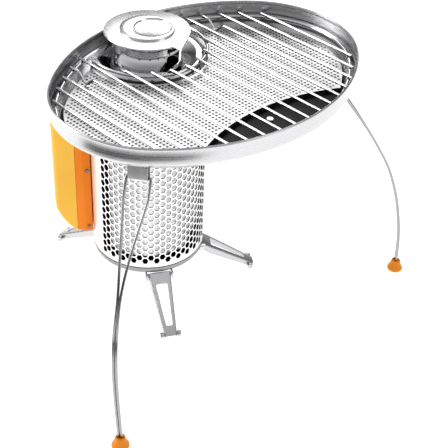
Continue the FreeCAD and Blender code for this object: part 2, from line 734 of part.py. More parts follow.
def grate_rods():
    """Parallel rods on the outline; two of them dip in a V to stand on the plate."""
    shapes = []
    dip_z = PLATE_TOP + ROD + 0.1
    for k in range(ROD_COUNT):
        y = (k - (ROD_COUNT - 1) / 2) * number("rod_pitch")
        if abs(y) < BOW - 5:
            start = math.sqrt(BOW ** 2 - y ** 2) - OVERHANG
        else:
            start = oval_x(GAP, y, True) - OVERHANG
        end = oval_x(GAP, y, False) + OVERHANG
        stops = [Vector(start, y, ROD_Z)]
        if k in DIP_RODS:
            for x, z in zip(DIP_X, (ROD_Z, dip_z, ROD_Z)):
                stops.append(Vector(x, y, z))
        stops.append(Vector(end, y, ROD_Z))
        if len(stops) == 2:
            shapes.append(rod(stops[0], stops[1], ROD))
        else:
            shapes.append(wire_along(stops, 2.2, ROD))
    return group(shapes)


feature("grate_rods", grate_rods())

# ---------------------------------------------------------------- lid
LID_TOP = number("lid_top")
LID_R = number("lid_radius")
TONGUE = number("tongue_radius")
SKIRT = number("skirt_radius")
SKIRT_LOW = number("skirt_bottom")


def lid_cap():
    """A disc whose edge runs out in a tangent tongue over the chimney's mouth."""
    tip = polar(TONGUE, -4.0)
    touch = polar(LID_R, -4.0 + math.degrees(math.acos(LID_R / TONGUE)))
    notch = polar(LID_R - 3.5, -8.0)
    tongue = prism([(0, 0), (notch.x, notch.y), (tip.x, tip.y), (touch.x, touch.y)],
                   LID_TOP - CAP, LID_TOP)
    disc = Part.makeCylinder(LID_R, CAP, Vector(0, 0, LID_TOP - CAP))
    return joined([disc, tongue])


feature("lid_cap", lid_cap())


def lid_skirt():
    """A rolled skirt: most of a circle, then straight out along a tangent to the tip."""
    height = LID_TOP - CAP - SKIRT_LOW
    ring = Part.makeCylinder(SKIRT, height, Vector(0, 0, SKIRT_LOW)).cut(
        Part.makeCylinder(SKIRT - SHEET, height, Vector(0, 0, SKIRT_LOW)))
    opening = [polar(60, -8.0 + 53.0 * k / 5.0) for k in range(6)]
    ring = ring.cut(prism([(0, 0)] + [(v.x, v.y) for v in opening], SKIRT_LOW - 1, LID_TOP))
    leave = polar(SKIRT, 45.0)
    inward = polar(1, 45.0) * -SHEET
    run = polar(1, -45.0) * 31.0
    flap = prism([(leave.x, leave.y), (leave.x + run.x, leave.y + run.y),
                  (leave.x + run.x + inward.x, leave.y + run.y + inward.y),
                  (leave.x + inward.x, leave.y + inward.y)], SKIRT_LOW, LID_TOP - CAP)
    return joined([ring, flap])


feature("lid_skirt", lid_skirt())

GRIP = size("grip_radius")
turned_body("lid_grip", [
    (0, size("lid_top")), (GRIP, size("lid_top")), (GRIP, size("lid_top") + 1.4),
    (GRIP - 1.0, size("lid_top") + size("grip_height")),
    (GRIP - 8.0, size("lid_top") + size("grip_height")),
    (GRIP - 9.4, size("lid_top") + 1.0), (0, size("lid_top") + 1.0)])

# ---------------------------------------------------------------- folding wire legs
LEG_WIRE = 1.3
BRACKET = (number("bracket_x"), number("bracket_y"), number("bracket_height"))
SPREAD = number("wire_leg_spread")
PAIR = LEG_WIRE + 0.02
# Each leg's bow from its pivot: how far out, half the gap between its wires, how far down.
BOWS = {
    "near": ((11.0, SPREAD, -15.0), (46.0, 4.4, -48.0), (67.0, PAIR, -76.0),
             (81.0, PAIR, -106.0), (86.0, PAIR, -138.0), (84.5, PAIR, -172.0),
             (80.5, PAIR, -206.0), (0.0, PAIR, -240.0)),
    "far": ((9.0, SPREAD, -15.0), (33.0, 5.0, -49.0), (52.0, PAIR, -78.7),
            (69.0, PAIR, -109.4), (80.8, PAIR, -141.0), (88.7, PAIR, -173.0),
            (93.3, PAIR, -204.0), (0.0, PAIR, -240.0)),
}


def wire_leg(bow, reach):
    """One wire doubled back on itself: two ends in the bracket, side by side below."""
    halves = []
    bow = bow[:-1] + ((reach,) + bow[-1][1:],)
    for side in (-1, 1):
        stops = [Vector(0, side * 4.4, 0), Vector(0, side * SPREAD, 0)]
        stops += [Vector(out, side * gap, drop) for out, gap, drop in bow]
        halves.append(wire_along(stops, [2.2, 2.2] + [None] * (len(stops) - 4), LEG_WIRE))
    foot = Vector(reach, 0, bow[-1][2] + LEG_WIRE)
    bridge = rod(foot - Vector(0, PAIR, 0), foot + Vector(0, PAIR, 0), LEG_WIRE * 0.98)
    return halves[0].fuse([halves[1], bridge])


def wire_bracket():
    """A folded sleeve under the tray, bored for the two ends of the wire."""
    top = FLOOR - BRACKET[2]
    sleeve = block(-4.2, 4.2, -8.0, 8.0, -3.0, top)
    sleeve = sleeve.cut(block(-2.8, 2.8, -10.0, 10.0, 2.6, top - 1.2))
    return sleeve.cut(Part.makeCylinder(LEG_WIRE + 0.05, 20, Vector(0, -10, 0), Vector(0, 1, 0)))


def rubber_foot(wire, reach):
    """A bell-shaped foot over the looped end of the wire."""
    wide = number("rubber_radius")
    section = [Vector(0, 0, 0), Vector(wide - 1.2, 0, 0), Vector(wide, 0, 1.6),
               Vector(wide - 0.6, 0, 4.0), Vector(5.4, 0, 8.4), Vector(4.6, 0, 13.0),
               Vector(0, 0, 13.0)]
    bell = Part.Face(Part.makePolygon(section + section[:1])).revolve(
        Vector(0, 0, 0), Vector(0, 0, 1), 360)
    return placed(bell, at(reach, 0, -BRACKET[2])).cut(wire)


for name, side in (("near", -1), ("far", 1)):
    reach = number(name + "_leg_reach")
    spot = at(BRACKET[0], side * BRACKET[1], BRACKET[2], Vector(0, 0, 1),
              side * number("wire_leg_azimuth"))
    wire = wire_leg(BOWS[name], reach)
    feature("wire_leg_" + name, wire, spot)
    feature("wire_bracket_" + name, wire_bracket(), spot)
    feature("rubber_foot_" + name, rubber_foot(wire, reach), spot)

# ---------------------------------------------------------------- checks and export
# The frame's origin is on the ground under the middle of the whole part.
everything = group([thing.Shape for thing in nodes]).optimalBoundingBox(False, False)
CENTRE = Vector(-(everything.XMin + everything.XMax) / 2,
                -(everything.YMin + everything.YMax) / 2, 0)
for thing in nodes:
    place = thing.Placement
    thing.Placement = FreeCAD.Placement(place.Base + CENTRE, place.Rotation)
print("stove axis at", CENTRE, "lowest", everything.ZMin)
document.recompute()
for thing in document.Objects:
    if "Invalid" in thing.State or "Error" in thing.State:
        raise RuntimeError("failed object: %s %s" % (thing.Name, thing.State))

os.makedirs("parts", exist_ok=True)
for thing in nodes:
    if thing.Shape.isNull() or not thing.Shape.isValid() or not thing.Shape.Solids:
        raise RuntimeError("bad shape: " + thing.Label)
    thing.Shape.exportStep("parts/%s.step" % thing.Label)
    box = thing.Shape.BoundBox
    print("%-22s solids %2d  volume %9.0f  z %6.1f..%6.1f" % (
        thing.Label, len(thing.Shape.Solids), thing.Shape.Volume, box.ZMin, box.ZMax))
print(len(nodes), "nodes")
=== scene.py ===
import math

import bmesh
import bpy
from mathutils import Matrix, Vector
from mathutils.geometry import delaunay_2d_cdt


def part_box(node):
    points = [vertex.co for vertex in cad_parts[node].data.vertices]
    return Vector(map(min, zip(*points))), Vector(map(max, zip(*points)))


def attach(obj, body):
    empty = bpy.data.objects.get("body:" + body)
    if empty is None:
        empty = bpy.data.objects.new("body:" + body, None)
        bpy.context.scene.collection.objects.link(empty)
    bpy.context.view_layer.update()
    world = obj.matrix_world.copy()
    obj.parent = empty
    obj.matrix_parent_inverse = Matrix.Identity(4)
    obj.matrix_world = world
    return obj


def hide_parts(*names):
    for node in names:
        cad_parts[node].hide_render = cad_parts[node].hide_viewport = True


# Portable camp stove with an oval grill. Everything is built in the stove's own frame, in
# millimetres with the stove's axis at x = y = 0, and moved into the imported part's frame.
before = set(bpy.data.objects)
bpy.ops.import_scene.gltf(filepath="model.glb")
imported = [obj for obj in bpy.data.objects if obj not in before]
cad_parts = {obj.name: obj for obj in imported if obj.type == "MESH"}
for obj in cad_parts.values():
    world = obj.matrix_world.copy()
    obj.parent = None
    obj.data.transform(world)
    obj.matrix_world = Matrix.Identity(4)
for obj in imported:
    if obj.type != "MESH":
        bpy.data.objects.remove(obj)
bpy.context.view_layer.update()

MM = 0.001
cup_low, cup_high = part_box("base_cup")
AXIS = Vector(((cup_low.x + cup_high.x) / 2, (cup_low.y + cup_high.y) / 2, 0))
UP = Vector((0, 0, 1))
SET = Matrix.Translation(AXIS) @ Matrix.Scale(MM, 4)


def polar(radius, azimuth, height=0.0):
    angle = math.radians(azimuth)
    return Vector((radius * math.cos(angle), radius * math.sin(angle), height))


def spin(azimuth):
    return Matrix.Rotation(math.radians(azimuth), 4, "Z")


# ---- mesh helpers
def place_object(name, data):
    thing = bpy.data.objects.new(name, data)
    bpy.context.scene.collection.objects.link(thing)
    return thing


def piece(name, verts, faces, body, material, slot, *, replaces, smooth=35.0, place=None):
    """A mesh from millimetre points, set in the part's frame and riding on a body."""
    matrix = SET @ (place or Matrix.Identity(4))
    mesh = bpy.data.meshes.new(name)
    mesh.from_pydata([matrix @ Vector(v) for v in verts], [], faces)
    tidy = bmesh.new()
    tidy.from_mesh(mesh)
    bmesh.ops.remove_doubles(tidy, verts=tidy.verts, dist=2e-6)
    bmesh.ops.recalc_face_normals(tidy, faces=tidy.faces)
    tidy.to_mesh(mesh)
    tidy.free()
    mesh.materials.append(material)
    thing = place_object(name, mesh)
    shade(thing, smooth)
    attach(thing, body)
    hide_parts(*replaces)
    return thing


def shade(thing, angle):
    thing.data.shade_smooth()
    thing.data.set_sharp_from_angle(angle=math.radians(angle))


def finish_modifiers(thing):
    bpy.context.view_layer.update()
    evaluated = thing.evaluated_get(bpy.context.evaluated_depsgraph_get())
    mesh = bpy.data.meshes.new_from_object(evaluated)
    thing.modifiers.clear()
    thing.data = mesh


def thicken(thing, thickness, offset=-1.0, rim=0, even=True):
    modifier = thing.modifiers.new("sheet", "SOLIDIFY")
    modifier.thickness = thickness * MM
    modifier.offset = offset
    modifier.use_even_offset = even
    modifier.material_offset_rim = rim
    finish_modifiers(thing)


def carve(thing, place, *tools):
    """Cuts boxes (six bounds) and rods along X (two ends, radius, height) in place's frame."""
    for sizes in tools:
        shape = bmesh.new()
        if len(sizes) == 6:
            x0, x1, y0, y1, z0, z1 = sizes
            bmesh.ops.create_cube(shape, size=1.0)
            bmesh.ops.scale(shape, vec=(x1 - x0, y1 - y0, z1 - z0), verts=shape.verts)
            middle = ((x0 + x1) / 2, (y0 + y1) / 2, (z0 + z1) / 2)
        else:
            x0, x1, radius, z = sizes
            bmesh.ops.create_cone(shape, cap_ends=True, segments=40, radius1=radius,
                                  radius2=radius, depth=x1 - x0)
            bmesh.ops.rotate(shape, cent=(0, 0, 0), matrix=Matrix.Rotation(math.pi / 2, 3, "Y"),
                             verts=shape.verts)
            middle = ((x0 + x1) / 2, 0, z)
        bmesh.ops.translate(shape, vec=middle, verts=shape.verts)
        bmesh.ops.transform(shape, matrix=SET @ place, verts=shape.verts)
        mesh = bpy.data.meshes.new("cutter")
        shape.to_mesh(mesh)
        shape.free()
        cutter = place_object("cutter", mesh)
        modifier = thing.modifiers.new("cut", "BOOLEAN")
        modifier.object = cutter
        modifier.operation = "DIFFERENCE"
        modifier.solver = "EXACT"
        finish_modifiers(thing)
        bpy.data.objects.remove(cutter)


def lathe(profile, segments, closed=True):
    """Verts and faces of a profile of (radius, height) turned about Z."""
    verts, faces, rings = [], [], []
    for radius, height in profile:
        count = segments if radius else 1
        rings.append(list(range(len(verts), len(verts) + count)))
        verts += [tuple(polar(radius, 360.0 * k / segments, height)) for k in range(count)]
    for a, b in zip(rings, rings[1:] + rings[:1] if closed else rings[1:]):
        if len(a) == 1 and len(b) == 1:
            continue
        for k in range(segments):
            j = (k + 1) % segments
            if len(a) == 1:
                faces.append((a[0], b[k], b[j]))
            elif len(b) == 1:
                faces.append((a[k], a[j], b[0]))
            else:
                faces.append((a[k], a[j], b[j], b[k]))
    return verts, faces


def stacked(loops):
    """A skin through loops of equally many points, capped at both ends."""
    count = len(loops[0])
    verts = [tuple(p) for loop in loops for p in loop]
    faces = []
    for a in range(0, len(verts) - count, count):
        for i in range(count):
            j = (i + 1) % count
            faces.append((a + i, a + j, a + count + j, a + count + i))
    faces += [tuple(reversed(range(count))), tuple(range(len(verts) - count, len(verts)))]
    return verts, faces


def extrude_side(outline, half):
    """An (x, z) outline extruded along Y both ways."""
    return stacked([[(x, y, z) for x, z in outline] for y in (-half, half)])


def rounded(corners, radius, steps):
    """A closed outline with every corner rounded; a corner may carry its own radius."""
    out = []
    count = len(corners)
    for i, corner in enumerate(corners):
        own = corner[2] if len(corner) > 2 else radius
        here = Vector(corner[:2])
        before = Vector(corners[i - 1][:2]) - here
        after = Vector(corners[(i + 1) % count][:2]) - here
        if own <= 0:
            out.append(tuple(here))
            continue
        half = before.angle(after) / 2
        reach = min(own / math.tan(half), 0.49 * before.length, 0.49 * after.length)
        own = reach * math.tan(half)
        centre = here + (before.normalized() + after.normalized()).normalized() * (
            own / math.sin(half))
        first = here + before.normalized() * reach - centre
        last = here + after.normalized() * reach - centre
        sweep = first.angle_signed(last)
        for k in range(steps + 1):
            turn = Matrix.Rotation(-sweep * k / steps, 2)
            out.append(tuple(centre + turn @ first))
    return out


def sweep(points, radius, sides, taper=0.25):
    """A round wire along a row of points, with softly rounded ends."""
    points = [Vector(p) for p in points]
    spans = zip(points[:1] + points, points[1:] + points[-1:])
    tangents = [(after - before).normalized() for before, after in spans]
    first, last = tangents[0], tangents[-1]
    stops = [(points[0], first, 1 - taper), (points[0] + first * radius * taper, first, 1)]
    stops += [(point, tangent, 1) for point, tangent in zip(points[1:-1], tangents[1:-1])]
    stops += [(points[-1] - last * radius * taper, last, 1), (points[-1], last, 1 - taper)]
    side = (first.cross(UP) if abs(first.z) < 0.9 else first.orthogonal()).normalized()
    turns = [2 * math.pi * k / sides for k in range(sides)]
    loops = []
    for centre, tangent, share in stops:
        side = (side - tangent * side.dot(tangent)).normalized()
        other = tangent.cross(side)
        loops.append([centre + (side * math.cos(turn) + other * math.sin(turn))
                      * (radius * share) for turn in turns])
    return stacked(loops)


def merge(parts):
    verts, faces = [], []
    for part_verts, part_faces in parts:
        shift = len(verts)
        verts += [tuple(v) for v in part_verts]
        faces += [tuple(i + shift for i in face) for face in part_faces]
    return verts, faces


def trimmed(verts, faces):
    """The same faces without the points that no face uses."""
    used = sorted(set(i for f in faces for i in f))
    order = {old: new for new, old in enumerate(used)}
    return [verts[i] for i in used], [tuple(order[i] for i in f) for f in faces]


def smooth_path(points, steps):
    """A Catmull-Rom curve through the points."""
    points = [Vector(p) for p in points]
    padded = [2 * points[0] - points[1]] + points + [2 * points[-1] - points[-2]]
    out = []
    for i in range(1, len(padded) - 2):
        p0, p1, p2, p3 = padded[i - 1:i + 3]
        for k in range(steps):
            t = k / steps
            out.append(0.5 * ((2 * p1) + (p2 - p0) * t + (2 * p0 - 5 * p1 + 4 * p2 - p3) * t * t
                              + (3 * p1 - p0 - 3 * p2 + p3) * t ** 3))
    out.append(points[-1])
    return out


def flat_sheet(outline, holes):
    """Triangles of a flat outline with round or shaped holes cut out."""
    points, edges = [], []
    for loop in [outline] + holes:
        start = len(points)
        points += [Vector(p[:2]) for p in loop]
        edges += [(start + k, start + (k + 1) % len(loop)) for k in range(len(loop))]
    result = delaunay_2d_cdt(points, edges, [], 1, 1e-5)
    return result[0], result[2]


def centroid(points, triangle):
    return sum((points[i] for i in triangle), Vector((0, 0))) / len(triangle)


# ---- materials
def principled(name, base, metallic, roughness, **extra):
    material = bpy.data.materials.new(name)
    material.use_nodes = True
    shader = material.node_tree.nodes["Principled BSDF"]
    shader.inputs["Base Color"].default_value = (*base, 1)
    shader.inputs["Metallic"].default_value = metallic
    shader.inputs["Roughness"].default_value = roughness
    for key, value in extra.items():
        shader.inputs[key.replace("_", " ")].default_value = value
    return material


def noise_drive(material, scale, stretch, low, high, target, detail=3.0):
    """Noise in object space, stretched along an axis, driving roughness or colour."""
    tree = material.node_tree
    nodes, links = tree.nodes, tree.links
    shader = nodes["Principled BSDF"]
    coords = nodes.new("ShaderNodeTexCoord")
    mapping = nodes.new("ShaderNodeMapping")
    mapping.inputs["Scale"].default_value = stretch
    noise = nodes.new("ShaderNodeTexNoise")
    noise.inputs["Scale"].default_value = scale
    noise.inputs["Detail"].default_value = detail
    links.new(coords.outputs["Object"], mapping.inputs["Vector"])
    links.new(mapping.outputs["Vector"], noise.inputs["Vector"])
    if target == "Base Color":
        ramp = nodes.new("ShaderNodeValToRGB")
        for stop, place, colour in zip(ramp.color_ramp.elements, (0.3, 0.7), (low, high)):
            stop.position = place
            stop.color = (*colour, 1)
        links.new(noise.outputs["Fac"], ramp.inputs["Fac"])
        links.new(ramp.outputs["Color"], shader.inputs["Base Color"])
    elif target == "Bump":
        bump = nodes.new("ShaderNodeBump")
        bump.inputs["Strength"].default_value = low
        bump.inputs["Distance"].default_value = high
        links.new(noise.outputs["Fac"], bump.inputs["Height"])
        links.new(bump.outputs["Normal"], shader.inputs["Normal"])
    else:
        spread = nodes.new("ShaderNodeMapRange")
        spread.inputs["To Min"].default_value = low
        spread.inputs["To Max"].default_value = high
        links.new(noise.outputs["Fac"], spread.inputs["Value"])
        links.new(spread.outputs["Result"], shader.inputs[target])


def brushed(name, base, roughness, stretch, spread=0.10, bump=0.12):
    """Steel with fine grinding lines, which run where the stretch is smallest."""
    material = principled(name, base, 1.0, roughness, Anisotropic=0.5)
    noise_drive(material, 1.0, stretch, roughness - spread, roughness + spread, "Roughness")
    noise_drive(material, 1.0, stretch, bump, 0.00003, "Bump")
    return material


def polished(name, base, roughness):
    material = principled(name, base, 1.0, roughness)
    noise_drive(material, 35.0, (1, 1, 1), roughness * 0.6, roughness * 1.7, "Roughness")
    return material


def moulded(name, base, roughness, coat=0.0):
    material = principled(name, base, 0.0, roughness)
    shader = material.node_tree.nodes["Principled BSDF"]
    shader.inputs["Coat Weight"].default_value = coat
    shader.inputs["Coat Roughness"].default_value = 0.25
    shader.inputs["Specular IOR Level"].default_value = 0.25
    darker = tuple(c * 0.93 for c in base)
    lighter = tuple(min(1.0, c * 1.04) for c in base)
    noise_drive(material, 22.0, (1, 1, 1), darker, lighter, "Base Color")
    noise_drive(material, 2600.0, (1, 1, 1), 0.18, 0.00004, "Bump", detail=1.0)
    return material


STEEL = {
    "tray": brushed("tray_brushed", (0.62, 0.62, 0.63), 0.26, (4, 4, 1100)),
    # Painted shade: near-black steel for the tray's floor and far lower slope.
    "floor": brushed("tray_floor_painted_shade", (0.012, 0.012, 0.012), 0.42, (900, 5, 5)),
    "cup": brushed("cup_brushed", (0.30, 0.30, 0.31), 0.24, (5, 5, 1200)),
    "shield": brushed("shield_bright", (0.97, 0.97, 0.97), 0.38, (700, 700, 6), 0.06, 0.04),
    # Painted shadow: near-black steel for the walls of cut holes and the wires' undersides.
    "edge": brushed("cut_edge_painted_shadow", (0.10, 0.10, 0.10), 0.45, (300, 300, 300), 0.06, 0.04),
    "plate": brushed("plate_bright", (0.98, 0.98, 0.98), 0.42, (6, 800, 6), 0.06, 0.04),
    "lid": brushed("lid_satin", (0.97, 0.97, 0.97), 0.27, (6, 500, 500), 0.05, 0.04),
    "alloy": brushed("stamped_alloy", (0.56, 0.56, 0.57), 0.28, (300, 300, 300), 0.05, 0.08),
    "chamber": brushed("chamber_dulled", (0.35, 0.33, 0.31), 0.45, (5, 5, 400), 0.08),
    "jacket": brushed("jacket_bright", (0.80, 0.80, 0.80), 0.34, (400, 400, 5), 0.06, 0.04),
    # Painted shade: near-black steel for the jacket's shaded zones and the cup's lip.
    "painted_shade_black": brushed("jacket_painted_shade", (0.006, 0.006, 0.006), 0.6, (200, 200, 200)),
    "bracket": brushed("bracket_plate", (0.70, 0.70, 0.71), 0.30, (500, 500, 6), 0.06, 0.06),
    "tint": brushed("heat_tinted", (0.30, 0.19, 0.11), 0.24, (60, 60, 200), 0.08, 0.05),
}
POLISHED = polished("polished_steel", (0.80, 0.80, 0.81), 0.07)
WIRE = polished("bright_wire", (0.93, 0.93, 0.94), 0.14)
LEG_STEEL = polished("leg_wire_steel", (0.36, 0.36, 0.37), 0.16)
PIN = polished("pin_steel", (0.7, 0.7, 0.71), 0.22)
SCREW = polished("screw_steel", (0.20, 0.17, 0.15), 0.3)
ORANGE_LIGHT = moulded("orange_shell", (1.0, 0.53, 0.05), 0.48)
# Painted shade: the shell's orange made darker for the back half, which faces the stove in shadow.
ORANGE_PAINTED_SHADE = moulded("orange_back_painted_shade", (1.0, 0.235, 0.0), 0.55)
SILICONE = moulded("orange_silicone", (1.0, 0.30, 0.012), 0.5)
BLACK = moulded("black_moulding", (0.02, 0.02, 0.02), 0.45)
GREY = moulded("grey_rubber", (0.05, 0.05, 0.055), 0.55)
COPPER = polished("copper_bar", (0.75, 0.36, 0.22), 0.3)
WHITE = moulded("ceramic_white", (0.86, 0.86, 0.84), 0.5)
GREEN = moulded("board_green", (0.01, 0.09, 0.035), 0.35, coat=0.4)
BLUE = moulded("cell_wrap", (0.02, 0.06, 0.22), 0.3, coat=0.4)
LENS = moulded("lens_clear", (0.85, 0.87, 0.80), 0.2, coat=0.6)

CARRIED = {
    "burn_chamber": STEEL["chamber"], "fire_grate": STEEL["chamber"],
    "module_hooks": STEEL["alloy"], "leg_hinge_ears": STEEL["alloy"], "leg_hinge_pins": PIN,
    "module_screws": SCREW, "heat_probe": COPPER, "thermoelectric_plate": WHITE,
    "heat_sink": STEEL["alloy"], "fan_motor": BLACK, "battery_cell": BLUE,
    "circuit_board": GREEN, "usb_socket": PIN, "status_lens": LENS, "fan_rotor": BLACK,
    "usb_flap": GREY, "power_button": GREY, "plate_spacers": PIN, "tray_stud": PIN,
    "stove_adapter": STEEL["tray"],
}
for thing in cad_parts.values():
    thing.data.materials.clear()
    thing.data.materials.append(CARRIED.get(thing.name, STEEL["alloy"]))


# ---- the oval of the tray
# Four tangent arcs; every parallel outline shares their centres. Same sizes as the CAD.
MIDDLE, HALF_WIDTH, HALF_LENGTH, END = 83.5, 119.0, 157.4, 94.0
END_SHIFT = HALF_LENGTH - END
SIDE = (HALF_WIDTH ** 2 - END ** 2 + END_SHIFT ** 2) / (2 * (HALF_WIDTH - END))
SIDE_SHIFT = SIDE - HALF_WIDTH
MEET = math.atan2(END_SHIFT, SIDE_SHIFT)
FLOOR_TOP, FLOOR_LOW = 261.0, 260.2


def oval(inset, steps=40):
    """Points of the oval moved in by an inset, anticlockwise from the +X side."""
    points = []
    for cx, cy, radius, first, last in (
            (MIDDLE - SIDE_SHIFT, 0, SIDE - inset, -MEET, MEET),
            (MIDDLE, END_SHIFT, END - inset, MEET, math.pi - MEET),
            (MIDDLE + SIDE_SHIFT, 0, SIDE - inset, math.pi - MEET, math.pi + MEET),
            (MIDDLE, -END_SHIFT, END - inset, math.pi + MEET, 2 * math.pi - MEET)):
        for k in range(steps):
            angle = first + (last - first) * k / steps
            points.append((cx + radius * math.cos(angle), cy + radius * math.sin(angle)))
    return points


def inset_of(x, y):
    """How far inside the tray's outline a point lies."""
    dx, dy = abs(x - MIDDLE), abs(y)
    if math.atan2(dy, dx + SIDE_SHIFT) < MEET:
        return SIDE - math.hypot(dx + SIDE_SHIFT, dy)
    return END - math.hypot(dx, dy - END_SHIFT)


def oval_x(inset, y, far):
    """Where a line of constant y crosses a parallel of the outline."""
    radius = SIDE - inset
    if abs(y) <= radius * math.sin(MEET):
        reach = math.sqrt(radius ** 2 - y ** 2) - SIDE_SHIFT
    else:
        reach = math.sqrt((END - inset) ** 2 - (abs(y) - END_SHIFT) ** 2)
    return MIDDLE - reach if far else MIDDLE + reach


def circle(radius, segments, centre=(0, 0), phase=0.0):
    return [(centre[0] + radius * math.cos(2 * math.pi * (k + phase) / segments),
             centre[1] + radius * math.sin(2 * math.pi * (k + phase) / segments))
            for k in range(segments)]


# ---- stove body
MODULE_AZIMUTH = 209.0
MODULE = spin(MODULE_AZIMUTH)
# The sheets' ports behind the module: a round one for the fan, a slot for the heat probe.
FAN_PORT, PROBE_PORT = (16.0, 112.0), (-11.0, 11.0, 171.4, 180.6)
BODY_R, SHEET = 58.0, 0.8
SHIELD_LOW, SHIELD_TOP = 49.25, 243.0
# Half of the plain strip behind the module, in degrees; a hole's share of its cell.
PLAIN_HALF, HOLE_SHARE = 53.0, 0.82


def shield_piece():
    """Honeycomb sheet: each cell is a ring of quads between its hole and its border."""
    columns, rows, rise = 42, 22, 8.4
    pitch = (360.0 - 2 * PLAIN_HALF) / (columns + 1.0)
    width = pitch / 1.5
    first_row = SHIELD_LOW + 8.2
    start = MODULE_AZIMUTH + PLAIN_HALF + pitch
    corners = [(width, 0), (width / 2, rise / 2), (-width / 2, rise / 2), (-width, 0),
               (-width / 2, -rise / 2), (width / 2, -rise / 2)]
    verts, faces = [], []

    def quad(*spots):
        faces.append(tuple(range(len(verts), len(verts) + len(spots))))
        verts.extend(tuple(polar(BODY_R, azimuth, height)) for azimuth, height in spots)

    for column in range(columns):
        azimuth = start + pitch * column
        lift = rise / 2 if column % 2 else 0.0
        for row in range(rows):
            height = first_row + lift + rise * row
            for (a, b), (c, d) in zip(corners, corners[1:] + corners[:1]):
                quad((azimuth + a, height + b), (azimuth + c, height + d),
                     (azimuth + c * HOLE_SHARE, height + d * HOLE_SHARE),
                     (azimuth + a * HOLE_SHARE, height + b * HOLE_SHARE))
        low, top = first_row + lift - rise / 2, first_row + lift + rise * (rows - 0.5)
        left, right = azimuth - width / 2, azimuth + width / 2
        quad((left, SHIELD_LOW), (right, SHIELD_LOW), (right, low), (left, low))
        quad((left, top), (right, top), (right, SHIELD_TOP), (left, SHIELD_TOP))
        if column < columns - 1:
            # The slanted stretch between this column's ends and the next one's.
            near, far = azimuth + width / 2, azimuth + width
            other = rise / 2 if lift == 0 else -rise / 2
            quad((near, SHIELD_LOW), (far, SHIELD_LOW), (far, low + other), (near, low))
            quad((near, top), (far, top + other), (far, SHIELD_TOP), (near, SHIELD_TOP))

    # The plain strip behind the power module, stitched to the two outer columns.
    edges = []
    for side, column in ((1, columns - 1), (-1, 0)):
        azimuth = start + pitch * column
        lift = rise / 2 if column % 2 else 0.0
        line = [(azimuth + side * width / 2, SHIELD_LOW)]
        for row in range(rows):
            height = first_row + lift + rise * row
            line += [(azimuth + side * width / 2, height - rise / 2),
                     (azimuth + side * width, height)]
        line += [(azimuth + side * width / 2, height + rise / 2),
                 (azimuth + side * width / 2, SHIELD_TOP)]
        edge = azimuth + side * 1.9 * width  # clear of the outermost cells
        for (a0, z0), (a1, z1) in zip(line, line[1:]):
            quad((a0, z0), (a1, z1), (edge, z1), (edge, z0))
        edges.append((edge, [z for a, z in line]))
    levels = sorted(set(round(z, 4) for edge, zs in edges for z in zs))
    first, last = edges[0][0], edges[1][0] + 360.0
    steps = 30
    for k in range(steps):
        a = first + (last - first) * k / steps
        b = first + (last - first) * (k + 1) / steps
        for low, top in zip(levels, levels[1:]):
            quad((a, low), (b, low), (b, top), (a, top))
    shield = piece("shield_perforated", verts, faces, "stove", STEEL["shield"], "shield_steel",
                   smooth=30, replaces=("heat_shield",))
    # Painted shadow: the walls of the holes get the near-black material in place of the shadow of
    # the sheet's thickness.
    shield.data.materials.append(STEEL["edge"])
    thicken(shield, 1.2, rim=1, even=False)
    carve(shield, MODULE, (50, 62, *FAN_PORT), (50, 62, *PROBE_PORT))
    shade(shield, 35)


def tube(radius, levels, keep, steps=180):
    """An upright tube of quads; keep says for each quad's middle whether it is there."""
    verts = [tuple(polar(radius, 360.0 * k / steps, z)) for k in range(steps) for z in levels]
    faces = []
    for k in range(steps):
        for i in range(len(levels) - 1):
            if keep(360.0 * (k + 0.5) / steps, (levels[i] + levels[i + 1]) / 2):
                a = k * len(levels) + i
                b = (k + 1) % steps * len(levels) + i
                faces.append((a, b, b + 1, a + 1))
    return verts, faces


def dark_zone(azimuth, height):
    """Where the sheet behind the holes gets painted shade: beside the fan's port, along the foot
    and higher up on the side away from the port."""
    away = abs((azimuth - MODULE_AZIMUTH + 180) % 360 - 180)
    climb = min(16.0, max(0.0, away - 155.0) * 1.5)
    return away < 61.5 or height < 58.5 + climb


def jacket_piece():
    low, top = 41.6, 242.9
    dark = []

    def note(azimuth, z):
        dark.append(dark_zone(azimuth, z))
        return True

    verts, faces = tube(52.0, [low + (top - low) * k / 66 for k in range(67)], note)
    jacket = piece("air_jacket_sheet", verts, faces, "stove", STEEL["jacket"], "stove_steel",
                   smooth=30, replaces=("air_jacket",))
    # Painted shade: the faces in the shaded zones get the near-black material.
    jacket.data.materials.append(STEEL["painted_shade_black"])
    for face, black in zip(jacket.data.polygons, dark):
        face.material_index = 1 if black else 0
    thicken(jacket, SHEET)
    carve(jacket, MODULE, (44, 56, *FAN_PORT), (44, 56, *PROBE_PORT))
    shade(jacket, 35)


def cup_piece():
    profile = [(0, 40.5), (53.5, 40.5), (55.4, 40.9), (56.9, 41.9), (57.7, 43.2), (58.0, 44.6),
               (58.0, 48.1), (57.8, 48.5), (57.3, 48.6), (57.1, 48.4), (57.1, 44.6),
               (56.6, 43.2), (55.2, 41.8), (53.5, 41.5), (0, 41.5)]
    cup = piece("base_cup_pressed", *lathe(profile, 200), "stove", STEEL["cup"], "stove_steel",
                smooth=40, replaces=("base_cup",))
    # Painted shade: the top of the lip, in the gap under the shield's foot, gets the near-black
    # material.
    cup.data.materials.append(STEEL["painted_shade_black"])
    lip = 48.2 * MM
    for face in cup.data.polygons:
        face.material_index = 1 if face.center.z > lip else 0


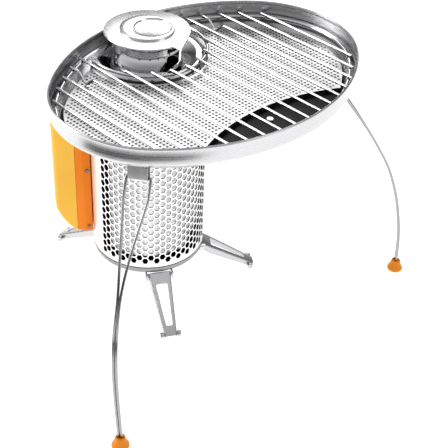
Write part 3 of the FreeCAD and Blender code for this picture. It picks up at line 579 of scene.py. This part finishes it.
def top_ring_piece():
    ring = lathe([(44.2, 243.0), (57.7, 243.0), (58.0, 243.3), (57.7, 243.9), (44.6, 243.9),
                  (44.2, 243.6)], 200)
    tabs = []
    for k in range(4):
        outline = rounded([(48.0, 244.0, 0), (49.6, 244.0, 0), (49.6, 257.6, 1.2),
                           (55.0, 257.6, 0.5), (55.0, 259.0, 0.6), (48.0, 259.0, 2.4)], 0.4, 5)
        verts, faces = extrude_side(outline, 9.0)
        turn = spin(45 + 90 * k)
        tabs.append(([tuple(turn @ Vector(v)) for v in verts], faces))
    piece("top_ring_tabs", *merge([ring] + tabs), "stove", STEEL["cup"], "stove_steel",
          smooth=40, replaces=("top_ring",))


# ---- stove legs
LEGS = (("front", -30.0), ("right", 53.0), ("left", 197.0))
PIVOT_R, PIVOT_Z, TIP_R, TIP_Z = 56.5, 36.4, 111.6, 3.2
LEG_LENGTH = math.hypot(TIP_R - PIVOT_R, PIVOT_Z - TIP_Z)
LEG_SLOPE = math.atan2(PIVOT_Z - TIP_Z, TIP_R - PIVOT_R)
ROOT_HALF, TIP_HALF = 12.0, 6.3


def leg_place(azimuth):
    return (Matrix.Translation(polar(PIVOT_R, azimuth, PIVOT_Z)) @ spin(azimuth)
            @ Matrix.Rotation(LEG_SLOPE, 4, "Y"))


def leg_mesh():
    """Mid-surface of the stamped channel: plate with a rounded window, bends, flanges."""
    back, nose = -2.6, LEG_LENGTH + 2.6
    top, metal, bend = 2.8, 0.6, 1.6
    stations = [back + (nose - back) * k / 18 for k in range(19)]

    def half(x):
        return ROOT_HALF + (TIP_HALF - ROOT_HALF) * (x - back) / (nose - back) - metal

    def depth(x):
        if x < 12:
            return -2.2 - 2.6 * (x - back) / (12 - back)
        return -4.8 + 2.9 * (x - 12) / (nose - 12)

    plate = [(x, -half(x) + bend) for x in stations] + [(x, half(x) - bend)
                                                      for x in reversed(stations)]
    window = rounded([(10.5, -half(10.5) + 4.2), (10.5, half(10.5) - 4.2),
                      (LEG_LENGTH - 8.5, half(LEG_LENGTH) - 2.6),
                      (LEG_LENGTH - 8.5, -half(LEG_LENGTH) + 2.6)], 1.8, 5)
    points, triangles = flat_sheet(plate, [window])

    def in_window(p):
        edges = zip(window, window[1:] + window[:1])
        turns = [(bx - ax) * (p.y - ay) - (by - ay) * (p.x - ax) for (ax, ay), (bx, by) in edges]
        return min(turns) > 0 or max(turns) < 0

    verts = [(p.x, p.y, top) for p in points]
    faces = [tuple(t) for t in triangles if not in_window(centroid(points, t))]
    for side in (-1, 1):
        rows = []
        for x in stations:
            row = []
            for k in range(6):
                angle = math.radians(18 * k)
                row.append((x, side * (half(x) - bend + bend * math.sin(angle)),
                            top - bend + bend * math.cos(angle)))
            row.append((x, side * half(x), depth(x)))
            rows.append([len(verts) + i for i in range(len(row))])
            verts += row
        for a, b in zip(rows, rows[1:]):
            for i in range(len(a) - 1):
                faces.append((a[i], b[i], b[i + 1], a[i + 1]))
    return verts, faces


def axle_mesh():
    """A thin axle with a round, flat-ended knob at each end."""
    inner, outer = TIP_HALF + 0.8, TIP_HALF + 4.6
    profile = [(0, -outer), (2.5, -outer), (3.0, -outer + 0.25), (3.2, -outer + 0.8),
               (3.2, -inner - 0.6), (3.0, -inner - 0.15), (2.6, -inner), (1.5, -inner),
               (1.5, inner), (2.6, inner), (3.0, inner + 0.15), (3.2, inner + 0.6),
               (3.2, outer - 0.8), (3.0, outer - 0.25), (2.5, outer), (0, outer)]
    verts, faces = lathe(profile, 28, closed=False)
    return [(LEG_LENGTH + x, z, -y) for x, y, z in verts], faces


def stove_legs():
    for name, azimuth in LEGS:
        leg = piece("stamped_leg_" + name, *leg_mesh(), "leg_" + name, STEEL["alloy"],
                    "leg_alloy", smooth=30, place=leg_place(azimuth),
                    replaces=("stove_leg_" + name,))
        thicken(leg, 1.2, 0.0)
        shade(leg, 40)
        piece("axle_knobs_" + name, *axle_mesh(), "leg_" + name, STEEL["alloy"], "leg_alloy",
              smooth=40, place=leg_place(azimuth), replaces=("foot_axle_" + name,))


# ---- power module
SEAM, DEEP, MODULE_HALF, MODULE_LOW, MODULE_TOP = 66.9, 102.0, 33.0, 60.5, 208.0


def shell_depth(z):
    """How far out the outer shell reaches at a height: swept under at the bottom."""
    rise, drop = 25.0, 3.5
    if z < MODULE_LOW + rise:
        t = (MODULE_LOW + rise - z) / rise
        return SEAM + 2.2 + (DEEP - SEAM - 2.2) * (1 - t ** 1.8) ** (1 / 1.8)
    if z > MODULE_TOP - drop:
        t = (z - MODULE_TOP + drop) / drop
        return DEEP - drop + drop * math.sqrt(max(0.0, 1 - t * t))
    return DEEP


def shell_section(z, steps=9):
    """Plan of the outer shell at a height: flat sides, round corners, bulging face."""
    deep = shell_depth(z)
    edge = min(1.0, min(z - MODULE_LOW, MODULE_TOP - z) / 2.0)
    half = MODULE_HALF - 1.6 * (1 - math.sqrt(max(0.0, 1 - (1 - edge) ** 2)))
    corner = min(7.0, (deep - SEAM) * 0.45)
    bulge = min(9.0, (deep - SEAM) * 0.30)
    shoulder = deep - bulge
    out = [(SEAM, half), (SEAM + 0.5, half)]
    for k in range(steps + 1):
        angle = math.radians(90 - 76 * k / steps)
        out.append((shoulder - corner + corner * math.cos(angle),
                    half - corner + corner * math.sin(angle)))
    last_x, last_y = out[-1]
    for k in range(1, 13):
        y = last_y * (1 - k / 12)
        out.append((deep - (deep - last_x) * (y / last_y) ** 2, y))
    return out + [(x, -y) for x, y in reversed(out[:-1])]


def outer_shell_piece():
    above = (0, 0.3, 0.9, 1.8, 3, 4.5, 6.5, 9, 12, 15, 18, 21, 24, 27, 30, 34)
    below = (100, 85, 70, 55, 40, 25, 12, 6, 3.5, 2.4, 1.4, 0.6, 0.15, 0)
    levels = [MODULE_LOW + t for t in above] + [MODULE_TOP - t for t in below]
    skin = stacked([[(x, y, z) for x, y in shell_section(z)] for z in levels])
    shell = piece("module_shell_light", *skin, "module", ORANGE_LIGHT, "orange_light",
                  smooth=40, place=MODULE, replaces=("module_outer_shell",))
    # The hollow steps in behind the bulging face, then come the port, button and lens.
    carve(shell, MODULE,
          (SEAM - 1, DEEP - 14.0, -30.5, 30.5, MODULE_LOW + 25, MODULE_TOP - 3),
          (80, 90.4, -28.0, 28.0, 86.0, 204.5), (80, 94.6, -20.5, 20.5, 86.5, 200),
          (80, 98.2, -12.0, 12.0, 87.0, 199.5), (80, 99.9, -7.0, 7.0, 87.5, 199),
          (96, 110, -8.2, 8.2, 86.6, 95.4), (96, 110, 6.2, 128.0), (96, 110, 2.0, 146.0))
    shade(shell, 40)


def back_shell_piece():
    """The darker half, its orange darkened as painted shade: a straight band at the seam, then
    drawn in towards the stove.
    """
    seam = SEAM - 0.35
    near = [(seam, MODULE_HALF - 0.3), (59.2, 32.3), (58.2, 32.0), (57.4, 31.3), (52.2, 28.1)]
    hollow = [(math.sqrt(59.0 ** 2 - y * y), y) for y in [27.4 - 54.8 * k / 20 for k in range(21)]]
    plan = near + hollow + [(x, -y) for x, y in reversed(near)]
    edge = 1.6
    levels = [(MODULE_LOW, 1.3), (MODULE_LOW + 0.4, 0.6), (MODULE_LOW + edge, 0.0),
              (MODULE_TOP - edge, 0.0), (MODULE_TOP - 0.4, 0.6), (MODULE_TOP, 1.3)]
    skin = stacked([[(x, y * (1 - inset / 33.0), z) for x, y in plan] for z, inset in levels])
    shell = piece("module_shell_dark", *skin, "module", ORANGE_PAINTED_SHADE, "orange_dark",
                  smooth=40, place=MODULE, replaces=("module_back_shell",))
    carve(shell, MODULE, (40, 80, *FAN_PORT), (40, 80, -10.6, 10.6, 171.8, 180.2))
    shade(shell, 35)


# ---- grill tray
def tray_piece():
    """A pressed pan with a rolled rim; its wall, slope and floor are one closed sheet."""
    wall = [(14.0, FLOOR_LOW), (12.4, 260.7), (9.6, 262.9), (3.2, 268.1), (1.4, 269.7),
            (0.4, 271.1), (0.0, 272.6), (0.0, 284.6), (0.15, 285.8), (0.55, 286.5),
            (1.15, 286.8), (1.8, 286.6), (2.2, 286.0), (2.25, 285.2), (2.0, 284.0),
            (1.7, 283.6), (1.3, 283.6), (0.95, 283.2), (0.8, 282.6), (0.8, 272.9), (1.2, 271.6),
            (2.0, 270.5), (3.8, 269.0), (10.2, 263.7), (13.0, 261.4), (15.0, FLOOR_TOP)]
    skin = stacked([[(x, y, z) for x, y in oval(inset)] for inset, z in wall])
    tray = piece("tray_pan", *skin, "grill", STEEL["tray"], "tray_steel", smooth=40,
                 replaces=("tray",))
    upright = Matrix.Translation((0, 0, 270)) @ Matrix.Rotation(-math.pi / 2, 4, "Y")
    carve(tray, upright, (-15, 14, NECK_R + 0.2, 0.0))
    tray.data.materials.append(STEEL["floor"])
    for face in tray.data.polygons:
        # Painted shade: the floor under the plate is made near-black, and so is the slope beyond
        # the grill's middle.
        beyond = face.center.x > AXIS.x + 165.0 * MM
        flat, ceiling = (0.3, 271.2 * MM) if beyond else (0.5, 261.5 * MM)
        if face.normal.z > flat and face.center.z < ceiling:
            face.material_index = 1
    shade(tray, 40)


# ---- perforated plate
PLATE_LOW, PLATE_SHEET = 264.0, 0.6
PLATE_ARC = (329.5, 190.0)
PLATE_INSET, PLATE_BORE = 13.5, 57.6


def on_plate(x, y, margin):
    return (inset_of(x, y) > PLATE_INSET + margin and math.hypot(x, y) > PLATE_BORE + margin
            and math.hypot(x - PLATE_ARC[0], y) > PLATE_ARC[1] + margin)


def plate_piece():
    """Thin plate with rows of round holes, triangulated once and then thickened."""
    pitch, hole = 4.1, 1.22
    loops = [circle(PLATE_BORE, 180), circle(PLATE_ARC[1], 720, (PLATE_ARC[0], 0))]
    centres = [(column * pitch, row * pitch) for row in range(-38, 39)
               for column in range(-12, 52)]
    centres = [c for c in centres if on_plate(*c, hole + 0.9)]
    holes = [circle(hole, 10, c, 0.5) for c in centres]
    points, triangles = flat_sheet(oval(PLATE_INSET, 60), loops + holes)
    drilled = set((round(x / pitch), round(y / pitch)) for x, y in centres)

    def open_here(p):
        i, j = round(p.x / pitch), round(p.y / pitch)
        return (i, j) in drilled and math.hypot(p.x - i * pitch, p.y - j * pitch) < hole * 0.9

    faces = []
    for t in triangles:
        middle = centroid(points, t)
        if on_plate(*middle, -0.02) and not open_here(middle):
            faces.append(tuple(t))
    verts = [(p.x, p.y, PLATE_LOW + PLATE_SHEET) for p in points]
    plate = piece("plate_perforated", *trimmed(verts, faces), "grill", STEEL["plate"],
                  "plate_steel", smooth=30, replaces=("diffuser_plate",))
    if plate.data.polygons[0].normal.z < 0:
        plate.data.flip_normals()
    # Painted shadow: the walls of the holes and the plate's edge get the near-black material.
    plate.data.materials.append(STEEL["edge"])
    thicken(plate, PLATE_SHEET, rim=1)
    shade(plate, 30)


# ---- grate
ROD_R, FRAME_R, ROD_Z = 1.3, 1.5, 275.4
FRAME_Z = ROD_Z - ROD_R - FRAME_R
GRATE_INSET, BOW_R, ROD_PITCH, RODS = 7.2, 57.0, 16.3, 17
# Two rods dip in a V: which ones, where the V's middle is, its half width and its foot.
DIPPED, DIP_X, DIP_HALF, DIP_LOW = (3, 13), 9.0, 10.0, 266.0


def bow_meeting():
    centre, reach = MIDDLE + SIDE_SHIFT, SIDE - GRATE_INSET
    x = (BOW_R ** 2 + centre ** 2 - reach ** 2) / (2 * centre)
    return x, math.sqrt(BOW_R ** 2 - x ** 2)


def bent_path(stops, bend, steps=5):
    """Straight runs joined by rounded bends, as points."""
    out = [Vector(stops[0])]
    for a, b, c in zip(stops, stops[1:], stops[2:]):
        a, b, c = Vector(a), Vector(b), Vector(c)
        reach = min(bend, 0.45 * (a - b).length, 0.45 * (c - b).length)
        enter, leave = b + (a - b).normalized() * reach, b + (c - b).normalized() * reach
        for k in range(steps + 1):
            t = k / steps
            out.append(enter * (1 - t) ** 2 + b * 2 * t * (1 - t) + leave * t * t)
    out.append(Vector(stops[-1]))
    return out


def paint_shade_under(thing):
    """Painted shade: the undersides of the grate's wires get a near-black material."""
    thing.data.materials.append(STEEL["edge"])
    for face in thing.data.polygons:
        face.material_index = 1 if face.normal.z < 0.12 else 0


def grate_pieces():
    x, y = bow_meeting()
    # The oval wire stops at the bow; its points are put in order from one end of the gap.
    points = [p for p in oval(GRATE_INSET, 60) if p[0] > x + 1.0 or abs(p[1]) > y + 1.0]
    cut = next(i for i in range(len(points) - 1)
               if (Vector(points[i + 1]) - Vector(points[i])).length > 30)
    loop = points[cut + 1:] + points[:cut + 1]
    wires = {"outline_wire": sweep([(a, b, FRAME_Z) for a, b in loop], FRAME_R, 16)}
    reach = math.degrees(math.atan2(y, x)) - 3.2
    bow = [tuple(polar(BOW_R, -reach + 2 * reach * k / 72, FRAME_Z)) for k in range(73)]
    wires["bow_wire"] = sweep(bow, FRAME_R, 16)
    rods = []
    past = 4.0
    for k in range(RODS):
        y = (k - RODS // 2) * ROD_PITCH
        if abs(y) < BOW_R - 5:
            start = math.sqrt(BOW_R ** 2 - y ** 2) - past
        else:
            start = oval_x(GRATE_INSET, y, True) - past
        end = oval_x(GRATE_INSET, y, False) + past
        stops = [(start, y, ROD_Z)]
        if k in DIPPED:
            stops += [(DIP_X - DIP_HALF, y, ROD_Z), (DIP_X, y, DIP_LOW),
                      (DIP_X + DIP_HALF, y, ROD_Z)]
        stops.append((end, y, ROD_Z))
        path = bent_path(stops, 3.4) if len(stops) > 2 else [
            Vector(stops[0]).lerp(Vector(stops[1]), t / 4) for t in range(5)]
        rods.append(sweep(path, ROD_R, 14, taper=0.45))
    wires["rods_row"] = merge(rods)
    # Each wire's underside gets painted shade.
    for name, mesh in wires.items():
        paint_shade_under(piece("grate_" + name, *mesh, "grate", WIRE, "wire_steel",
                          replaces=("grate_" + name.split("_")[0],)))


# ---- chimney and lid
NECK_R, SKIRT_R, LID_R, TONGUE_R = 32.2, 33.5, 41.2, 51.0
LID_TOP, CAP = 291.0, 1.4
# The neck's openings, from and to in degrees and millimetres: to the grill, to the mouth.
WINDOW, GAP = (-8, 27, 263.7, 276.2), (-12, 48, 279.2, LID_TOP)


def neck_piece():
    """Chimney tube with a window to the grill and a gap towards the lid's mouth."""
    low, top = FLOOR_LOW, LID_TOP - CAP
    levels = sorted({*WINDOW[2:], GAP[2], *(low + (top - low) * k / 12 for k in range(13))})
    levels = [z for i, z in enumerate(levels) if i == 0 or z - levels[i - 1] > 0.05]

    def solid(azimuth, z):
        azimuth = (azimuth + 180) % 360 - 180
        return not any(first < azimuth < last and foot < z < head
                       for first, last, foot, head in (WINDOW, GAP))

    verts, faces = tube(NECK_R, levels, solid)
    neck = piece("chimney_neck_tube", verts, faces, "grill", POLISHED, "polished_steel",
                 smooth=30, replaces=("chimney_neck",))
    neck.data.materials.append(STEEL["tint"])
    thicken(neck, SHEET)
    for face in neck.data.polygons:
        if (face.center - AXIS).xy.length < (NECK_R - 0.5) * MM:
            face.material_index = 1
    shade(neck, 35)


def collar_piece():
    """Polished cone round the chimney, trimmed where it meets the tray's slope."""
    bore, crest, foot = NECK_R + 0.1, 52.0, 57.2

    def height(r):
        if r < crest:
            t = (r - bore) / (crest - bore)
            return 262.1 + 6.1 * (t + 0.18 * math.sin(math.pi * t))
        return 268.2 - 3.3 * (r - crest) / (foot - crest)

    verts, faces, rows = [], [], []
    steps = 180
    for k in range(steps):
        azimuth = 2.0 * k
        far = foot
        while far > bore + 0.3:
            # How far in the tray's slope lies at this height, and 0.8 mm to spare.
            slope = 14.0 - (height(far) - 1.0 - FLOOR_TOP) * 13.2 / 10.3
            if inset_of(*polar(far, azimuth).xy) >= slope + 0.8:
                break
            far -= 0.2
        row = [len(verts) + i for i in range(14)]
        for i in range(14):
            r = bore + (far - bore) * i / 13
            verts.append(tuple(polar(r, azimuth, height(r))))
        rows.append((row, far))
    for (a, far_a), (b, far_b) in zip(rows, rows[1:] + rows[:1]):
        if min(far_a, far_b) < 33.2:
            continue
        for i in range(13):
            faces.append((a[i], b[i], b[i + 1], a[i + 1]))
    collar = piece("chimney_collar_cone", *trimmed(verts, faces), "grill", POLISHED,
                   "polished_steel", smooth=60, replaces=("chimney_collar",))
    if collar.data.polygons[5].normal.z < 0:
        collar.data.flip_normals()
    thicken(collar, SHEET)
    shade(collar, 50)


def lid_outline(radius, tongue, steps=120):
    """Circle that runs out along a tangent to a tongue and steps back in."""
    tip, step = -4.0, -8.0
    touch = tip + math.degrees(math.acos(radius / tongue))
    spots = [(radius, touch + (360.0 + step - touch) * k / steps) for k in range(steps + 1)]
    spots += [(radius - 3.5, step), (tongue, tip)]
    return [tuple(polar(*spot).xy) for spot in spots]


def inset_loop(loop, inset):
    out = []
    for i, p in enumerate(loop):
        before, here, after = Vector(loop[i - 1]), Vector(p), Vector(loop[(i + 1) % len(loop)])
        a, b = (here - before).normalized(), (after - here).normalized()
        normal = Vector((-(a + b).y, (a + b).x))
        if normal.length < 1e-6:
            out.append(p)
            continue
        normal.normalize()
        lean = max(0.45, abs(normal.dot(Vector((-a.y, a.x)))))
        out.append(tuple(here + normal * inset / lean))
    return out


def lid_pieces():
    outline = lid_outline(LID_R, TONGUE_R)
    low = LID_TOP - CAP
    stack = [(0.5, low), (0.1, low + 0.2), (0.0, low + 0.6), (0.1, low + 1.0),
             (0.45, LID_TOP - 0.08), (0.9, LID_TOP)]
    skin = stacked([[(x, y, z) for x, y in inset_loop(outline, inset)] for inset, z in stack])
    piece("lid_cap_disc", *skin, "lid", STEEL["lid"], "lid_steel", smooth=35,
          replaces=("lid_cap",))

    # The skirt: the long way round the circle, then straight out to the tongue.
    path = [polar(SKIRT_R - SHEET / 2, -8.0 - 307.0 * k / 150).xy for k in range(151)]
    leave = path[-1]
    away = polar(1, -45.0).xy
    path += [leave + away * (31.0 * k / 8) for k in range(1, 9)]
    low, top = 275.5, LID_TOP - CAP
    levels = [low + (top - low) * k / 4 for k in range(5)]
    verts = [(p.x, p.y, z) for p in path for z in levels]
    faces = [(5 * k + i, 5 * (k + 1) + i, 5 * (k + 1) + i + 1, 5 * k + i + 1)
             for k in range(len(path) - 1) for i in range(4)]
    skirt = piece("lid_skirt_scroll", verts, faces, "lid", POLISHED, "polished_steel",
                  smooth=40, replaces=("lid_skirt",))
    skirt.data.materials.append(STEEL["tint"])
    thicken(skirt, SHEET, 0.0)
    for face in skirt.data.polygons:
        flat = (face.center - AXIS).xy / MM
        # On the straight flap the inside is told by its distance along the normal.
        out, reach, margin = flat.dot(polar(1, 45).xy), flat.length, 0.1
        if out > SKIRT_R - 1.0 and flat.dot(away) > 0.5:
            reach, margin = out, 0.05
        if reach < SKIRT_R - SHEET / 2 - margin:
            face.material_index = 1
    shade(skirt, 40)

    # Finger grip: a low round boss with an off-centre scoop, which leaves a crescent.
    outer, scoop, tall = 26.0, 17.5, 2.4
    shift = polar(5.2, 60.0).xy
    stack = ((outer, (0, 0), 0.0), (outer, (0, 0), 1.6), (outer - 0.3, (0, 0), 2.1),
             (outer - 1.0, (0, 0), tall), (scoop + 0.9, shift, tall), (scoop + 0.3, shift, 2.1),
             (scoop, shift, 1.5), (scoop - 0.6, shift, 0.7), (scoop - 1.8, shift, 0.45))
    skin = stacked([[(x, y, LID_TOP + z) for x, y in circle(radius, 120, centre)]
                    for radius, centre, z in stack])
    piece("lid_grip_boss", *skin, "lid", STEEL["lid"], "lid_steel", smooth=35,
          replaces=("lid_grip",))


# ---- wire legs
BRACKET = Vector((130.0, 124.5, 248.0))
LEG_WIRE, PAIR, SPREAD = 1.3, 1.32, 10.5
LEG_TURN = 55.8
REACH = {"near": 76.0, "far": 95.0}
# Each leg's bow from its pivot: how far out, half the gap between its wires, how far down.
BOWS = {
    "near": ((11.0, SPREAD, -15.0), (46.0, 4.4, -48.0), (67.0, PAIR, -76.0),
             (81.0, PAIR, -106.0), (86.0, PAIR, -138.0), (84.5, PAIR, -172.0),
             (80.5, PAIR, -206.0), (REACH["near"], PAIR, -238.0)),
    "far": ((9.0, SPREAD, -15.0), (33.0, 5.0, -49.0), (52.0, PAIR, -78.7),
            (69.0, PAIR, -109.4), (80.8, PAIR, -141.0), (88.7, PAIR, -173.0),
            (93.3, PAIR, -204.0), (REACH["far"], PAIR, -238.0)),
}


def prop_place(side):
    return Matrix.Translation((BRACKET.x, side * BRACKET.y, BRACKET.z)) @ spin(side * LEG_TURN)


def wire_leg_mesh(name):
    halves = []
    for side in (-1, 1):
        bow = smooth_path([(out, side * gap, drop) for out, gap, drop in BOWS[name]], 8)
        top = bent_path([(0, side * 4.4, 0), (0, side * SPREAD, 0), tuple(bow[0])], 2.4)
        halves.append(sweep(top[:-1] + bow, LEG_WIRE, 14))
    return merge(halves)


def bracket_mesh():
    """A sheet folded into a sleeve: down from under the tray, round the pivot, up."""
    outer = rounded([(-4.2, 12.2, 0), (-4.2, -3.0, 3.0), (4.2, -3.0, 3.0), (4.2, 12.2, 0)], 0, 8)
    inner = rounded([(-3.2, 12.2, 0), (-3.2, -2.0, 2.0), (3.2, -2.0, 2.0), (3.2, 12.2, 0)], 0, 8)
    return extrude_side(outer + inner[::-1], 8.6)


def foot_mesh(reach):
    profile = [(0, 0.0), (6.6, 0.0), (7.6, 0.25), (8.2, 0.9), (8.35, 1.8), (8.25, 2.8),
               (7.6, 4.2), (6.6, 6.0), (5.8, 8.0), (5.2, 10.2), (4.8, 12.0), (4.4, 12.8),
               (3.8, 13.1), (3.0, 13.0), (2.7, 12.2), (0, 12.0)]
    verts, faces = lathe(profile, 48, closed=False)
    return [(reach + x, y, z - BRACKET.z) for x, y, z in verts], faces


def props():
    for name, side in (("near", -1), ("far", 1)):
        place = prop_place(side)
        piece("bowed_wire_" + name, *wire_leg_mesh(name), "prop_" + name, LEG_STEEL, "wire_steel",
              place=place, replaces=("wire_leg_" + name,))
        piece("bell_foot_" + name, *foot_mesh(REACH[name]), "prop_" + name, SILICONE,
              "orange_rubber", smooth=50, place=place, replaces=("rubber_foot_" + name,))
        piece("folded_bracket_" + name, *bracket_mesh(), "grill", STEEL["bracket"],
              "tray_steel", smooth=40, place=place, replaces=("wire_bracket_" + name,))


for build in (shield_piece, jacket_piece, cup_piece, top_ring_piece, stove_legs,
              outer_shell_piece, back_shell_piece, tray_piece, plate_piece, grate_pieces,
              neck_piece, collar_piece, lid_pieces, props):
    build()


# ---- camera, light, floor
def camera():
    """A long lens from the right-hand front, 37 degrees down, slightly rolled."""
    place = Vector((684.4, -601.9, 755.2)) * MM + AXIS
    look, pitch, roll = math.radians(133.604), math.radians(-37.191), math.radians(2.731)
    forward = Vector((math.cos(look) * math.cos(pitch), math.sin(look) * math.cos(pitch),
                      math.sin(pitch)))
    right = forward.cross(UP).normalized()
    above = right.cross(forward)
    x_axis = right * math.cos(roll) + above * math.sin(roll)
    y_axis = above * math.cos(roll) - right * math.sin(roll)
    data = bpy.data.cameras.new("camera")
    data.sensor_width = 36.0
    data.lens = 86.05
    data.clip_start, data.clip_end = 0.05, 20
    eye = place_object("camera", data)
    eye.matrix_world = Matrix((
        (x_axis.x, y_axis.x, -forward.x, place.x), (x_axis.y, y_axis.y, -forward.y, place.y),
        (x_axis.z, y_axis.z, -forward.z, place.z), (0, 0, 0, 1)))
    bpy.context.scene.camera = eye


def soft_box(name, place, target, size, power):
    data = bpy.data.lights.new(name, "AREA")
    data.shape = "RECTANGLE"
    data.size, data.size_y = size
    data.energy = power
    lamp = place_object(name, data)
    lamp.location = place
    lamp.rotation_mode = "QUATERNION"
    lamp.rotation_quaternion = (Vector(target) - Vector(place)).to_track_quat("-Z", "Y")


def sky():
    """Grey horizon, a dark band above it, then a bright ring that dims overhead."""
    world = bpy.data.worlds.new("studio")
    world.use_nodes = True
    nodes, links = world.node_tree.nodes, world.node_tree.links
    coords = nodes.new("ShaderNodeTexCoord")
    split = nodes.new("ShaderNodeSeparateXYZ")
    ramp = nodes.new("ShaderNodeValToRGB")
    stops = ramp.color_ramp.elements
    stops[0].position, stops[1].position = 0.0, 1.0
    for place, value in ((0.30, 0.12), (0.42, 0.05), (0.52, 0.22), (0.64, 0.60), (0.80, 0.85),
                         (0.93, 0.40)):
        stop = stops.new(place)
        stop.color = (value, value, value, 1)
    stops[0].color = (0.45, 0.45, 0.45, 1)
    stops[len(stops) - 1].color = (0.25, 0.25, 0.25, 1)
    links.new(coords.outputs["Generated"], split.inputs["Vector"])
    links.new(split.outputs["Z"], ramp.inputs["Fac"])
    links.new(ramp.outputs["Color"], nodes["Background"].inputs["Color"])
    nodes["Background"].inputs["Strength"].default_value = 1.0
    bpy.context.scene.world = world


def plane(name, corners, height, material):
    mesh = bpy.data.meshes.new(name)
    mesh.from_pydata([(x, y, height) for x, y in corners], [], [tuple(range(len(corners)))])
    mesh.materials.append(material)
    thing = place_object(name, mesh)
    return thing


def studio():
    sky()
    white = principled("floor_white", (0.60, 0.60, 0.60), 0.0, 0.9)
    shader = white.node_tree.nodes["Principled BSDF"]
    shader.inputs["Emission Color"].default_value = (1, 1, 1, 1)
    shader.inputs["Emission Strength"].default_value = 1.0
    plane("floor", ((-6, -6), (6, -6), (6, 6), (-6, 6)), -0.0002, white)
    # A black card that only reflections see, which darkens the near side of the rim.
    card = plane("flag", ((-0.20, -0.64), (0.22, -0.66), (0.50, -0.46), (0.56, -0.24),
                          (0.42, -0.20), (0.31, -0.33), (0.14, -0.41), (-0.16, -0.42)), 0.0015,
                 principled("flag_black", (0.005, 0.005, 0.005), 0.0, 1.0))
    for kind in ("camera", "diffuse", "shadow", "transmission"):
        setattr(card, "visible_" + kind, False)
    soft_box("key", (-1.2, -1.1, 1.0), (-0.05, 0, 0.15), (0.8, 0.8), 13)
    soft_box("back", (-1.1, 1.15, 1.35), (0.05, 0, 0.2), (0.8, 0.7), 5)
    soft_box("side", (1.8, 0.6, 1.1), (0.05, 0, 0.2), (0.7, 1.0), 4)
    bpy.context.scene.view_settings.view_transform = "Standard"
    bpy.context.scene.view_settings.look = "None"


camera()
studio()
